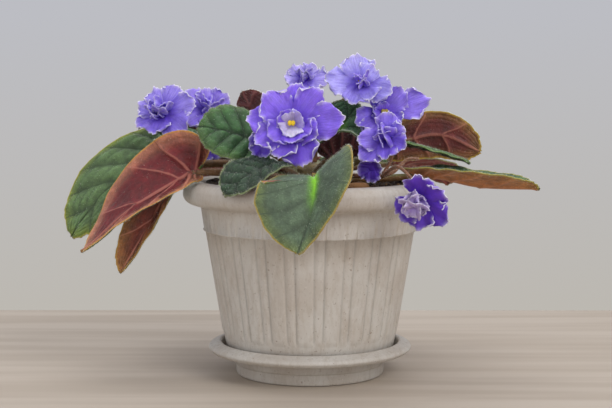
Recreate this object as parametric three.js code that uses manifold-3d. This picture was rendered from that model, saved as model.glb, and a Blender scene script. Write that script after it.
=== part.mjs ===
// A potted African violet: a fluted plastic pot on its saucer, filled with soil, and a rosette of
// heart-shaped leaves with four flower stalks rising from its crown. Millimetres, +Z up. The origin
// is the centre of the saucer's underside, and -Y is the side that the plant is looked at from.
import * as THREE from "three";
import { mergeVertices } from "three/addons/utils/BufferGeometryUtils.js";
import Module from "manifold-3d";

const wasm = await Module();
wasm.setup();

// Driving dimensions of the holder
const LIP_RADIUS = 70;
const POT_TOP = 107;
const SEAT_GAP = 0.3;
const FLUTES = 22;
const POT_WALL = 2.2;
const SAUCER_BASE_RADIUS = 41;
const SAUCER_LIP_RADIUS = 56.4;
const SAUCER_FLOOR = 2.4;
const SAUCER_LEDGE = 12.9;
const SOIL_TOP = 102.6;

// Driving dimensions of the plant
const CROWN_RADIUS = 9;
const CROWN_TOP = 116;
const LEAF_THICKNESS = 1.1;
const MARGIN_THICKNESS = 0.7;
const PETIOLE_RADIUS = 2.1;
const PETAL_THICKNESS = 0.8;
const RUFFLE = 0.7;
const PETAL_OVERLAP = 1.4;

// Materials
const plastic = new THREE.MeshStandardMaterial({ color: 0xb5aa9c, roughness: 0.62, metalness: 0 });
const peat = new THREE.MeshStandardMaterial({ color: 0x2c221b, roughness: 0.95, metalness: 0 });
const green = new THREE.MeshStandardMaterial({ color: 0x4c6b45, roughness: 0.8, metalness: 0 });
const stem = new THREE.MeshStandardMaterial({ color: 0x7d6244, roughness: 0.75, metalness: 0 });
const violet = new THREE.MeshStandardMaterial({ color: 0x7a63cf, roughness: 0.7, metalness: 0 });
const pollen = new THREE.MeshStandardMaterial({ color: 0xd9b820, roughness: 0.6, metalness: 0 });

const vec = (p) => new THREE.Vector3(...p);
const rad = THREE.MathUtils.degToRad;
const lerp = THREE.MathUtils.lerp;
const smooth = THREE.MathUtils.smoothstep;

// A small repeatable random number source.
function randomFrom(seed) {
  let state = seed;
  return () => {
    state = (Math.imul(state, 1664525) + 1013904223) >>> 0;
    return state / 4294967296;
  };
}

// A closed geometry as a solid that can be joined and cut.
function solid(geometry) {
  const bare = geometry.clone();
  bare.deleteAttribute("normal");
  bare.deleteAttribute("uv");
  const merged = mergeVertices(bare, 1e-4);
  return new wasm.Manifold(
    new wasm.Mesh({
      numProp: 3,
      vertProperties: new Float32Array(merged.attributes.position.array),
      triVerts: new Uint32Array(merged.index.array),
    }),
  );
}

function joined(solids) {
  return solids.reduce((a, b) => a.add(b));
}

// The triangles of the largest shell: specks of hollow sealed inside a joint are filled, and loose
// scraps dropped.
function largestShell(triangles, pointCount) {
  const link = Array.from({ length: pointCount }, (_, i) => i);
  const root = (i) => {
    while (link[i] !== i) i = link[i];
    return i;
  };
  for (let t = 0; t < triangles.length; t += 3) {
    link[root(triangles[t])] = root(triangles[t + 1]);
    link[root(triangles[t + 2])] = root(triangles[t + 1]);
  }
  const shells = new Map();
  for (let t = 0; t < triangles.length; t += 3) {
    const key = root(triangles[t]);
    if (!shells.has(key)) shells.set(key, []);
    shells.get(key).push(triangles[t], triangles[t + 1], triangles[t + 2]);
  }
  return [...shells.values()].reduce((a, b) => (b.length > a.length ? b : a));
}

// A solid as a named mesh.
function meshOf(name, shape, material) {
  const made = shape.getMesh();
  const geometry = new THREE.BufferGeometry();
  const points = new Float32Array(made.vertProperties);
  geometry.setAttribute("position", new THREE.BufferAttribute(points, 3));
  geometry.setIndex(largestShell(made.triVerts, points.length / 3));
  geometry.computeVertexNormals();
  const mesh = new THREE.Mesh(geometry, material);
  mesh.name = name;
  return mesh;
}

function geometryOf(points, triangles) {
  const geometry = new THREE.BufferGeometry();
  const flat = points.flatMap((p) => p.toArray());
  geometry.setAttribute("position", new THREE.Float32BufferAttribute(flat, 3));
  geometry.setIndex(triangles);
  return geometry;
}

// A profile of [radius, height] points turned about Z, then placed. It starts and ends on the axis.
function turned(profile, sides, place = new THREE.Matrix4()) {
  const points = profile.map(([r, z]) => new THREE.Vector2(r, z));
  return solid(new THREE.LatheGeometry(points, sides).rotateX(Math.PI / 2).applyMatrix4(place));
}

// Rings of points, all alike in number, skinned and closed at both ends round the end ring's middle.
function skinned(rings) {
  const sides = rings[0].length;
  const middle = (ring) => ring.reduce((sum, p) => sum.add(p), new THREE.Vector3()).divideScalar(sides);
  const points = [...rings.flat(), middle(rings[0]), middle(rings[rings.length - 1])];
  const first = points.length - 2;
  const triangles = [];
  for (let i = 0; i + 1 < rings.length; i++)
    for (let j = 0; j < sides; j++) {
      const a = i * sides + j;
      const b = i * sides + ((j + 1) % sides);
      triangles.push(a, b, b + sides, a, b + sides, a + sides);
    }
  const last = (rings.length - 1) * sides;
  for (let j = 0; j < sides; j++) {
    const next = (j + 1) % sides;
    triangles.push(first, next, j);
    triangles.push(first + 1, last + j, last + next);
  }
  return solid(geometryOf(points, triangles));
}

// A round stalk through the points, with a radius given along its length from 0 to 1.
function stalk(points, radiusAt, steps, sides) {
  const curve = new THREE.CatmullRomCurve3(points.map(vec));
  const frames = curve.computeFrenetFrames(steps, false);
  const rings = [];
  for (let i = 0; i <= steps; i++) {
    const centre = curve.getPointAt(i / steps);
    const r = radiusAt(i / steps);
    const ring = [];
    for (let j = 0; j < sides; j++) {
      const a = (2 * Math.PI * j) / sides;
      const out = frames.normals[i].clone().multiplyScalar(r * Math.cos(a));
      ring.push(out.addScaledVector(frames.binormals[i], r * Math.sin(a)).add(centre));
    }
    rings.push(ring);
  }
  return skinned(rings);
}

// The way that the upper face looks at each point of a grid. Rows run from the root to the tip, and
// columns from right to left.
function gridNormals(grid) {
  const last = grid.length - 1;
  const end = grid[0].length - 1;
  return grid.map((row, i) =>
    row.map((_, j) => {
      const along = grid[Math.min(i + 1, last)][j].clone().sub(grid[Math.max(i - 1, 0)][j]);
      const across = row[Math.min(j + 1, end)].clone().sub(row[Math.max(j - 1, 0)]);
      return along.cross(across).normalize();
    }),
  );
}

// A thin blade about a grid of points, with its normals. depthAt gives the material above and below
// each point. Both faces are split along the same diagonal.
function blade(grid, normals, depthAt) {
  const rows = grid.length;
  const columns = grid[0].length;
  const upper = [];
  const lower = [];
  for (let i = 0; i < rows; i++)
    for (let j = 0; j < columns; j++) {
      const [above, below] = depthAt(i, j);
      upper.push(grid[i][j].clone().addScaledVector(normals[i][j], above));
      lower.push(grid[i][j].clone().addScaledVector(normals[i][j], -below));
    }
  const count = rows * columns;
  const triangles = [];
  for (let i = 0; i + 1 < rows; i++)
    for (let j = 0; j + 1 < columns; j++) {
      const a = i * columns + j;
      const b = a + columns;
      triangles.push(a, b, b + 1, a, b + 1, a + 1);
      triangles.push(count + a, count + b + 1, count + b, count + a, count + a + 1, count + b + 1);
    }
  const rim = [];
  for (let j = 0; j < columns - 1; j++) rim.push(j);
  for (let i = 0; i < rows - 1; i++) rim.push(i * columns + columns - 1);
  for (let j = columns - 1; j > 0; j--) rim.push((rows - 1) * columns + j);
  for (let i = rows - 1; i > 0; i--) rim.push(i * columns);
  rim.forEach((a, k) => {
    const b = rim[(k + 1) % rim.length];
    triangles.push(a, b, count + b, a, count + b, count + a);
  });
  return solid(geometryOf([...upper, ...lower], triangles));
}

// The pot: a fluted tapering body, a smooth collar, a rounded lip and a hollow inside with drain holes
const POT_BOTTOM = SAUCER_LEDGE + SEAT_GAP;
const POT_FLOOR = POT_BOTTOM + 2.6;
const FOOT_RADIUS = 46.2;
const REEDS_FROM = 23;
const REEDS_TO = 80;
const REEDS_TOP_RADIUS = 57.2;
const COLLAR_TOP_RADIUS = 60.4;
const COLLAR_TOP = 94;
const POT_SIDES = 2 * FLUTES;
const DRAIN_HOLES = 4;
const DRAIN_RADIUS = 3;
const DRAIN_CIRCLE = 24;

function bodyRadius(z) {
  return lerp(FOOT_RADIUS, REEDS_TOP_RADIUS, (z - POT_BOTTOM) / (REEDS_TO - POT_BOTTOM));
}

// How far the flutes stand out at a share of one period: a wide reed, then a narrow bead.
const FLUTE_SHARES = [0, 0.11, 0.55, 0.66, 0.83];
const FLUTE_RISES = [0, 1, 1, 0, 0.9];

function flutedBody() {
  const ring = (z, relief) => {
    const points = [];
    for (let k = 0; k < FLUTES; k++)
      FLUTE_SHARES.forEach((share, n) => {
        const a = (2 * Math.PI * (k + share)) / FLUTES;
        const r = bodyRadius(z) - 0.5 + relief * FLUTE_RISES[n];
        points.push(new THREE.Vector3(r * Math.cos(a), r * Math.sin(a), z));
      });
    return points;
  };
  return skinned([ring(REEDS_FROM - 1, 0), ring(REEDS_FROM + 2.5, 1), ring(REEDS_TO + 0.8, 1)]);
}

function buildPot() {
  const foot = turned(
    [
      [0, POT_BOTTOM],
      [FOOT_RADIUS - 1.5, POT_BOTTOM],
      [FOOT_RADIUS, POT_BOTTOM + 1.8],
      [bodyRadius(REEDS_FROM), REEDS_FROM],
      [0, REEDS_FROM],
    ],
    POT_SIDES,
  );
  const collar = turned(
    [
      [0, REEDS_TO],
      [REEDS_TOP_RADIUS + 1.2, REEDS_TO],
      [COLLAR_TOP_RADIUS, COLLAR_TOP],
      [LIP_RADIUS - 4.6, COLLAR_TOP + 0.3],
      [LIP_RADIUS - 1.4, COLLAR_TOP + 2.1],
      [LIP_RADIUS, COLLAR_TOP + 5],
      [LIP_RADIUS - 0.3, COLLAR_TOP + 9.4],
      [LIP_RADIUS - 2.2, POT_TOP - 0.9],
      [LIP_RADIUS - 4.8, POT_TOP],
      [0, POT_TOP],
    ],
    POT_SIDES,
  );
  const hollow = turned(
    [
      [0, POT_FLOOR],
      [FOOT_RADIUS - POT_WALL, POT_FLOOR],
      [REEDS_TOP_RADIUS - POT_WALL, REEDS_TO],
      [COLLAR_TOP_RADIUS - POT_WALL, COLLAR_TOP],
      [COLLAR_TOP_RADIUS - POT_WALL + 1.2, POT_TOP + 5],
      [0, POT_TOP + 5],
    ],
    POT_SIDES,
  );
  const drill = [[0, 5], [DRAIN_RADIUS, 5], [DRAIN_RADIUS, 25], [0, 25]];
  let pot = joined([foot, flutedBody(), collar]).subtract(hollow);
  for (let k = 0; k < DRAIN_HOLES; k++) {
    const a = (2 * Math.PI * k) / DRAIN_HOLES;
    const x = DRAIN_CIRCLE * Math.cos(a);
    const y = DRAIN_CIRCLE * Math.sin(a);
    pot = pot.subtract(turned(drill, 8, new THREE.Matrix4().makeTranslation(x, y, 0)));
  }
  return meshOf("pot", pot, plastic);
}

// The saucer: a water well on a flat base, a ledge that the pot stands on, and a sloping rolled lip
const SAUCER_SIDES = 32;

function buildSaucer() {
  const outside = turned(
    [
      [0, 0],
      [SAUCER_BASE_RADIUS - 0.7, 0],
      [SAUCER_BASE_RADIUS, 0.9],
      [SAUCER_BASE_RADIUS + 0.3, 6],
      [SAUCER_BASE_RADIUS + 1.2, 6.6],
      [SAUCER_BASE_RADIUS + 2, 10.9],
      [SAUCER_LIP_RADIUS - 1.6, 12.6],
      [SAUCER_LIP_RADIUS, 14.6],
      [SAUCER_LIP_RADIUS - 0.9, 16.2],
      [SAUCER_LIP_RADIUS - 6.2, 18.4],
      [0, 18.4],
    ],
    SAUCER_SIDES,
  );
  const hollow = turned(
    [
      [0, SAUCER_FLOOR],
      [SAUCER_BASE_RADIUS - 2.6, SAUCER_FLOOR],
      [SAUCER_BASE_RADIUS - 1.6, SAUCER_LEDGE],
      [SAUCER_LIP_RADIUS - 8.2, SAUCER_LEDGE],
      [SAUCER_LIP_RADIUS - 7.4, 18],
      [SAUCER_LIP_RADIUS - 7.4, 22],
      [0, 22],
    ],
    SAUCER_SIDES,
  );
  return meshOf("saucer", outside.subtract(hollow), plastic);
}

// The soil: a plug that fills the pot, lumpy on top and banked up to the pot's wall, with a plain
// hole that the crown stands in
const SOIL_RINGS = [14, 24, 34, 44, 52, 57.2];
const SOIL_SIDES = 24;
const CROWN_HOLE_RADIUS = CROWN_RADIUS - 1;
const CROWN_FOOT = 88;

function soilHeight(x, y) {
  const r = Math.hypot(x, y);
  const broad = 0.7 * Math.sin(0.31 * x + 1.3) * Math.cos(0.27 * y);
  const fine = 0.5 * Math.sin(0.53 * y - 0.41 * x);
  return SOIL_TOP + 2 * smooth(r, 16, 48) + 0.8 * (broad + fine) * (1 - smooth(r, 50, 57));
}

// A chip of bark that lies half sunk in the soil near the front.
const CHIP_AT = [25, -46.5, 105];

function barkChip() {
  const chip = new THREE.IcosahedronGeometry(1, 0).scale(6.5, 3, 4.2);
  return solid(chip.rotateY(-0.15).rotateZ(0.3).translate(...CHIP_AT));
}

function buildSoil() {
  const ringAt = (r, heightAt) => {
    const points = [];
    for (let j = 0; j < SOIL_SIDES; j++) {
      const a = (2 * Math.PI * j) / SOIL_SIDES;
      const x = r * Math.cos(a);
      const y = r * Math.sin(a);
      points.push(new THREE.Vector3(x, y, heightAt(x, y)));
    }
    return points;
  };
  const bottom = POT_FLOOR + SEAT_GAP;
  const wallGap = POT_WALL + SEAT_GAP + 0.15;
  const rings = [
    ringAt(FOOT_RADIUS - wallGap, () => bottom),
    ringAt(REEDS_TOP_RADIUS - wallGap, () => REEDS_TO),
    ...SOIL_RINGS.toReversed().map((r) => ringAt(r, soilHeight)),
  ];
  const hole = [
    [0, CROWN_FOOT - 1],
    [CROWN_HOLE_RADIUS, CROWN_FOOT - 1],
    [CROWN_HOLE_RADIUS, CROWN_TOP],
    [0, CROWN_TOP],
  ];
  return meshOf("soil", skinned(rings).add(barkChip()).subtract(turned(hole, 16)), peat);
}

// The crown: the short thick stem that every leaf and flower stalk grows from
function buildCrown() {
  const r = CROWN_RADIUS;
  const shape = turned(
    [
      [0, CROWN_FOOT],
      [CROWN_HOLE_RADIUS - SEAT_GAP - 0.4, CROWN_FOOT],
      [CROWN_HOLE_RADIUS - SEAT_GAP - 0.4, SOIL_TOP + 3],
      [r - 0.4, SOIL_TOP + 5.5],
      [r - 0.4, CROWN_TOP - 2],
      [r - 2, CROWN_TOP],
      [0, CROWN_TOP],
    ],
    14,
  );
  return meshOf("crown", shape, stem);
}

// One half of a leaf's outline, from the notch's side round the lobe to the tip, in shares of its
// length and its half width. The notch itself runs straight from there to the rib's root.
const HALF_OUTLINE = [
  [-0.1, 0.2],
  [-0.14, 0.47],
  [-0.07, 0.72],
  [0.12, 0.91],
  [0.41, 1.0],
  [0.67, 0.91],
  [0.86, 0.66],
  [0.96, 0.36],
  [1.0, 0.03],
];
const LEAF_ROWS = 8;
const LEAF_COLUMNS = 3;
const QUILT_RISE = 0.8;

// The middle line of a leaf: its stalk's points, then its blade's, on one smooth curve.
function leafLine(leaf) {
  const points = [...leaf.stalk, ...leaf.rib].map(vec);
  const curve = new THREE.CatmullRomCurve3(points, false, "catmullrom", 0.5);
  const joint = (leaf.stalk.length - 1) / (points.length - 1);
  const rib = Array.from({ length: 21 }, (_, i) => curve.getPoint(lerp(joint, 1, i / 20)));
  const length = rib.slice(1).reduce((sum, p, i) => sum + p.distanceTo(rib[i]), 0);
  return { curve, joint, length };
}

// The upper face's direction at a share of the blade, square to the middle line.
function leafFace(leaf, tangent, share) {
  const [first, last] = leaf.face.map((p) => vec(p).normalize());
  const hint = first.lerp(last, THREE.MathUtils.clamp(share, 0, 1));
  return hint.addScaledVector(tangent, -hint.dot(tangent)).normalize();
}

// A point of the blade: along is the share of its length, and out the distance from the rib in
// millimetres, with the left side above zero. Each half is folded up from the flat and curls on
// towards its margin.
function bladePoint(leaf, line, along, out) {
  const t = line.joint + (1 - line.joint) * Math.max(along, 0);
  const centre = line.curve.getPoint(t);
  const tangent = line.curve.getTangent(t);
  if (along < 0) centre.addScaledVector(tangent, along * line.length);
  const face = leafFace(leaf, tangent, along);
  const left = face.clone().cross(tangent);
  const side = out < 0 ? 1 : 0;
  const share = THREE.MathUtils.clamp(along, 0, 1);
  const fold = rad(lerp(leaf.fold[0][side], leaf.fold[1][side], share));
  const curl = rad(leaf.curl[side]);
  const reach = Math.abs(out);
  const bends = 6;
  const step = reach / bends;
  const swing = Math.sin(9 * along + 3 * side + line.length);
  let x = 0;
  let z = leaf.wave * (reach / leaf.half[side]) ** 2 * swing;
  for (let k = 0; k < bends; k++) {
    const angle = fold + (curl * step * (k + 0.5)) / leaf.half[side];
    x += Math.cos(angle) * step;
    z += Math.sin(angle) * step;
  }
  return centre.addScaledVector(left, out < 0 ? -x : x).addScaledVector(face, z);
}

// The outline of one half of a blade, in millimetres along and out from the rib. A leaf may narrow
// towards its base by a share of its width, its shoulder.
function leafMargin(leaf, line, side) {
  const points = HALF_OUTLINE.map(([p, q]) => {
    const along = (p < 0 ? leaf.lobe[side] : 1) * p * line.length;
    const narrowed = 1 - leaf.shoulder[side] * (1 - Math.max(p, 0)) ** 3;
    return new THREE.Vector2(along, q * leaf.half[side] * narrowed);
  });
  return new THREE.SplineCurve(points);
}

// The blade's grid follows its side veins: each row starts on the rib and runs out to the margin.
function leafGrid(leaf, line) {
  const halves = [leafMargin(leaf, line, 0), leafMargin(leaf, line, 1)];
  const grid = [];
  for (let i = 0; i <= LEAF_ROWS; i++) {
    const s = i / LEAF_ROWS;
    const row = [];
    for (let j = -LEAF_COLUMNS; j <= LEAF_COLUMNS; j++) {
      const t = Math.abs(j) / LEAF_COLUMNS;
      const margin = halves[j < 0 ? 1 : 0].getPointAt(s);
      const along = lerp(0.985 * s ** 2.2, margin.x / line.length, t);
      row.push(bladePoint(leaf, line, along, margin.y * t * (j < 0 ? -1 : 1)));
    }
    grid.push(row);
  }
  return grid;
}

// The leaf stalk: its top follows the middle line, and its end runs into the rib beneath the blade.
const STALK_STEPS = 4;
const STALK_SIDES = 5;
const STALK_REACH = 0.14;

function leafStalk(leaf, line) {
  const end = lerp(line.joint, 1, STALK_REACH);
  const rings = [];
  for (let i = 0; i <= STALK_STEPS; i++) {
    const t = (end * i) / STALK_STEPS;
    const tangent = line.curve.getTangent(t);
    const face = leafFace(leaf, tangent, 0);
    const left = face.clone().cross(tangent);
    const r = lerp(PETIOLE_RADIUS, 1.2, smooth(t, 0.8 * line.joint, end));
    const centre = line.curve.getPoint(t).addScaledVector(face, 0.3 - r);
    const ring = [];
    for (let j = 0; j < STALK_SIDES; j++) {
      const a = (2 * Math.PI * j) / STALK_SIDES;
      const point = centre.clone().addScaledVector(left, r * Math.cos(a));
      ring.push(point.addScaledVector(face, r * Math.sin(a)));
    }
    rings.push(ring);
  }
  return skinned(rings);
}

// A leaf: every other row of its blade's grid lies on a vein, and the rows between are puffed up.
function buildLeaf(leaf) {
  const line = leafLine(leaf);
  const grid = leafGrid(leaf, line);
  const normals = gridNormals(grid);
  normals[LEAF_ROWS].fill(normals[LEAF_ROWS][LEAF_COLUMNS]);
  const shares = grid[0].map((_, j) => Math.abs(j - LEAF_COLUMNS) / LEAF_COLUMNS);
  grid.forEach((row, i) => {
    row.forEach((point, j) => {
      const puffed = i % 2 === 1 && shares[j] > 0 && shares[j] < 1;
      point.addScaledVector(normals[i][j], puffed ? QUILT_RISE : 0);
    });
  });
  const depthAt = (i, j) => {
    const half = (shares[j] === 1 ? MARGIN_THICKNESS : LEAF_THICKNESS) / 2;
    return [half, shares[j] === 0 ? lerp(2.2, 0.5, i / LEAF_ROWS) : half];
  };
  return meshOf(leaf.name, blade(grid, normals, depthAt).add(leafStalk(leaf, line)), green);
}

// The leaves. stalk is the route of the leaf stalk's top from the crown to the blade's notch, rib
// the blade's middle line from there to the tip, face where the upper side looks at the notch and at
// the tip, half the widths of the left and the right half, lobe how far each half reaches back past
// the notch, fold how far each half rises from the flat at the notch and at the tip, in degrees,
// curl how much further it turns towards its margin, and wave the height of the margin's waves.
const LEAVES = [
  {
    name: "leaf_front",
    stalk: [[0.5, -9.4, 108.3], [1, -42, 112.5], [2.2, -68, 113.4]],
    rib: [[2.6, -76, 110], [0.2, -82.5, 94.5], [-5.8, -84, 76]],
    face: [[0, -0.4, 0.9], [-0.1, -1, 0.15]],
    half: [24, 31],
    lobe: [1.3, 1.2],
    shoulder: [0, 0],
    fold: [[42, 0], [46, 0]],
    curl: [0, 0],
    wave: 0.5,
  },
  {
    name: "leaf_front_left",
    stalk: [[-4, -8.6, 108.6], [-10, -28, 115], [-16, -44, 117.5]],
    rib: [[-29, -54, 114], [-43.5, -61, 103.5]],
    face: [[-0.2, -0.25, 1], [-0.3, -0.6, 0.8]],
    half: [15.5, 17],
    lobe: [0.4, 1],
    shoulder: [0, 0],
    fold: [[12, 8], [10, 16]],
    curl: [0, 0],
    wave: 0.8,
  },
  {
    name: "leaf_left_upper",
    stalk: [[-7, -6.1, 113], [-16, -16, 122], [-26, -25, 127.5]],
    rib: [[-42, -30, 134], [-59.3, -31, 136.6]],
    face: [[-0.1, -0.7, 0.7], [-0.2, -0.8, 0.6]],
    half: [17, 19],
    lobe: [1, 1],
    shoulder: [0, 0],
    fold: [[5, 5], [5, 5]],
    curl: [-10, -10],
    wave: 0.6,
  },
  {
    name: "leaf_pink",
    stalk: [[-9.1, -2, 108.3], [-34, -14, 112], [-60, -25, 113.4]],
    rib: [[-70, -30, 109], [-96, -34, 93], [-121, -36, 71]],
    face: [[0.1, 0.95, 0.3], [0.2, 0.95, 0.2]],
    half: [26, 7],
    lobe: [0.6, 0.2],
    shoulder: [0, 0],
    fold: [[0, -40], [80, -80]],
    curl: [0, 0],
    wave: 0.8,
  },
  {
    name: "leaf_left_low",
    stalk: [[-9.4, 0.8, 113], [-38, -6, 116.5], [-64, -13, 115.5]],
    rib: [[-75, -15.5, 105], [-88, -17, 82.5], [-102.7, -19, 57.5]],
    face: [[-0.3, 0.9, 0.1], [-0.3, 0.9, 0.1]],
    half: [14.5, 6],
    lobe: [0.4, 0.2],
    shoulder: [0, 0],
    fold: [[5, -70], [5, -80]],
    curl: [0, 0],
    wave: 0.6,
  },
  {
    name: "leaf_left_outer",
    stalk: [[-8.6, 4, 108.5], [-36, 11, 119], [-67, 8, 121.5]],
    rib: [[-80, 4, 119], [-110, -2, 102.5], [-131, -6, 75.5]],
    face: [[-0.3, -0.75, 0.6], [-0.6, -0.8, 0.1]],
    half: [18, 27],
    lobe: [0.3, 0.5],
    shoulder: [0, 0.4],
    fold: [[5, 5], [5, 5]],
    curl: [-15, -10],
    wave: 0.8,
  },
  {
    name: "leaf_left_back",
    stalk: [[-7.1, 6, 112.8], [-34, 26, 120], [-62, 38, 124]],
    rib: [[-88, 44, 124], [-112, 46, 117]],
    face: [[-0.2, -0.4, 0.9], [-0.4, -0.5, 0.8]],
    half: [20, 20],
    lobe: [1, 1],
    shoulder: [0, 0],
    fold: [[5, 5], [5, 5]],
    curl: [-5, -5],
    wave: 0.6,
  },
  {
    name: "leaf_back_red",
    stalk: [[-2.5, 9.1, 113], [-10, 24, 120], [-20, 38, 128]],
    rib: [[-32, 48, 142], [-40, 52, 154.5]],
    face: [[0.3, 0.9, 0.4], [0.3, 0.9, 0.4]],
    half: [13, 13],
    lobe: [1, 1],
    shoulder: [0, 0],
    fold: [[10, 10], [10, 10]],
    curl: [0, 0],
    wave: 0.6,
  },
  {
    name: "leaf_right_long",
    stalk: [[8.7, -3.2, 108.4], [34, -14, 110.5], [56, -20, 111.8]],
    rib: [[72, -22, 109.5], [92, -24, 105.2], [123, -25, 104]],
    face: [[0.1, 0, 1], [0.1, 0, 1]],
    half: [20, 20],
    lobe: [0.4, 0.6],
    shoulder: [0, 0],
    fold: [[8, 12], [34, 32]],
    curl: [0, 0],
    wave: 0.5,
  },
  {
    name: "leaf_right_mid",
    stalk: [[9.3, 0.4, 112.8], [30, -3, 121], [48, -6, 127]],
    rib: [[66, -9, 124], [87, -10, 117]],
    face: [[0.25, 0.1, 1], [0.3, 0.1, 0.95]],
    half: [17, 17],
    lobe: [1, 1],
    shoulder: [0, 0],
    fold: [[3, -3], [3, -3]],
    curl: [0, 0],
    wave: 0.4,
  },
  {
    name: "leaf_right_back",
    stalk: [[8.2, 4.4, 108.4], [28, 18, 118.5], [48, 24, 126]],
    rib: [[74, 26, 131], [97, 24, 121]],
    face: [[-0.1, 0.9, 0.35], [0, 0.95, 0.2]],
    half: [15, 13.5],
    lobe: [1, 1],
    shoulder: [0, 0],
    fold: [[5, 5], [5, 5]],
    curl: [0, 0],
    wave: 0.6,
  },
  {
    name: "leaf_inner_red",
    stalk: [[3, -8.8, 112.8], [7, -17, 118], [10, -24, 121]],
    rib: [[19, -31, 126], [28.5, -36, 129.5]],
    face: [[-0.1, 0.8, 0.5], [-0.1, 0.85, 0.5]],
    half: [10, 11],
    lobe: [1, 1],
    shoulder: [0, 0],
    fold: [[15, 15], [10, 10]],
    curl: [0, 0],
    wave: 0.5,
  },
  {
    name: "leaf_centre",
    stalk: [[7.3, -6.4, 112.8], [11, -8.8, 116], [13, -6, 126]],
    rib: [[19, -4, 138], [26.5, -4, 149]],
    face: [[-0.2, -0.9, 0.5], [0, -0.9, 0.4]],
    half: [14, 14],
    lobe: [1, 1],
    shoulder: [0, 0],
    fold: [[8, 8], [8, 8]],
    curl: [0, 0],
    wave: 0.5,
  },
  {
    name: "leaf_rear_left",
    stalk: [[-4.9, 7.9, 108.4], [-28, 42, 111.8], [-44, 60, 113]],
    rib: [[-56, 78, 108], [-64, 96, 94]],
    face: [[-0.1, 0.3, 1], [-0.4, 0.7, 0.6]],
    half: [24, 24],
    lobe: [1, 1],
    shoulder: [0, 0],
    fold: [[8, 8], [8, 8]],
    curl: [-10, -10],
    wave: 0.8,
  },
  {
    name: "leaf_rear",
    stalk: [[0.6, 9.3, 108.6], [3, 40, 112.4], [5, 64, 114]],
    rib: [[6, 88, 112], [6, 112, 100]],
    face: [[0, 0.2, 1], [0, 0.6, 0.8]],
    half: [25, 25],
    lobe: [1, 1],
    shoulder: [0, 0],
    fold: [[8, 8], [8, 8]],
    curl: [-10, -10],
    wave: 0.8,
  },
  {
    name: "leaf_rear_right",
    stalk: [[5.4, 7.6, 112.9], [30, 36, 114], [48, 54, 113.4]],
    rib: [[68, 68, 110], [84, 82, 98]],
    face: [[0.1, 0.2, 1], [0.5, 0.5, 0.7]],
    half: [24, 24],
    lobe: [1, 1],
    shoulder: [0, 0],
    fold: [[8, 8], [8, 8]],
    curl: [-10, -10],
    wave: 0.8,
  },
];

// A petal's rows: its root, sunk in the hub, its widest place and its tip, as shares of its length and
// of its greatest half width.
const ROOT_REACH = 1;
const PETAL_ROWS = [0, 0.68, 1];
const PETAL_WIDTHS = [0.14, 1, 0.66];
const PETAL_COLUMNS = [-1, -0.4, 0.4, 1];
const CLOSED_PETAL_COLUMNS = [-1, 1];
const HUB_RADIUS = 3.2;
const HUB_DEPTH = 1.8;

// The directions of a flower: its face, and the right and up of someone who looks at it.
function flowerFrame(flower) {
  const face = vec(flower.face).normalize();
  const up = new THREE.Vector3(0, 0, 1).addScaledVector(face, -face.z).normalize();
  const right = up.clone().cross(face);
  const place = new THREE.Matrix4().makeBasis(right, up, face).setPosition(vec(flower.at));
  return { face, up, right, place };
}

// A petal's grid. turn is its direction on the flower's face in degrees, anticlockwise from the
// right, length and half its size, and lift and bend its slope from the flower's plane at the root
// and what the tip adds to it. One side of each petal lies over its neighbour, and the other under.
function petalGrid(flower, frame, [turn, length, half, lift, bend], draw) {
  const out = frame.right.clone().multiplyScalar(Math.cos(rad(turn)));
  out.addScaledVector(frame.up, Math.sin(rad(turn)));
  const left = frame.face.clone().cross(out);
  const phase = draw() < 0.5 ? -1 : 1;
  const columns = flower.closed ? CLOSED_PETAL_COLUMNS : PETAL_COLUMNS;
  return PETAL_ROWS.map((share, i) =>
    columns.map((across, j) => {
      const reach = Math.max(length * share * (1 - 0.2 * share * across * across), ROOT_REACH);
      const angle = rad(lift + 0.5 * bend * share);
      const sway = phase * RUFFLE * share ** 2 * (j % 2 === 0 ? 1 : -1);
      const ruffle = i === 0 ? 0 : sway * lerp(0.7, 1.3, draw());
      const overlap = PETAL_OVERLAP * across * (i === 0 ? 0.6 : 1);
      return vec(flower.at)
        .addScaledVector(out, reach * Math.cos(angle))
        .addScaledVector(left, half * PETAL_WIDTHS[i] * across)
        .addScaledVector(frame.face, reach * Math.sin(angle) + ruffle + overlap);
    }),
  );
}

// A petal as a thin blade.
function buildPetal(flower, frame, shape, draw) {
  const grid = petalGrid(flower, frame, shape, draw);
  return blade(grid, gridNormals(grid), () => [PETAL_THICKNESS / 2, PETAL_THICKNESS / 2]);
}

// A flower: its rings of petals joined at a small hub.
function buildFlower(flower, seed) {
  const draw = randomFrom(seed);
  const frame = flowerFrame(flower);
  const profile = [
    [0, -HUB_DEPTH],
    [HUB_RADIUS - 1, -HUB_DEPTH],
    [HUB_RADIUS, 0],
    [HUB_RADIUS - 1, 1],
    [0, 1],
  ];
  const petals = flower.rings.flat().map((shape) => buildPetal(flower, frame, shape, draw));
  return meshOf(flower.name, joined([turned(profile, 6, frame.place), ...petals]), violet);
}

// The anthers: two plump lobes side by side, standing in the flower's centre at the height rise,
// clear of any inner petals.
function buildAnthers(flower) {
  const { place } = flowerFrame(flower);
  const lobe = (x) => {
    const ball = new THREE.SphereGeometry(1.5, 5, 3).scale(1, 1.25, 0.85);
    return solid(ball.translate(x, 0, flower.rise ?? 3).applyMatrix4(place));
  };
  return meshOf(flower.name.replace("flower", "anthers"), lobe(-0.9).add(lobe(0.9)), pollen);
}

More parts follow.
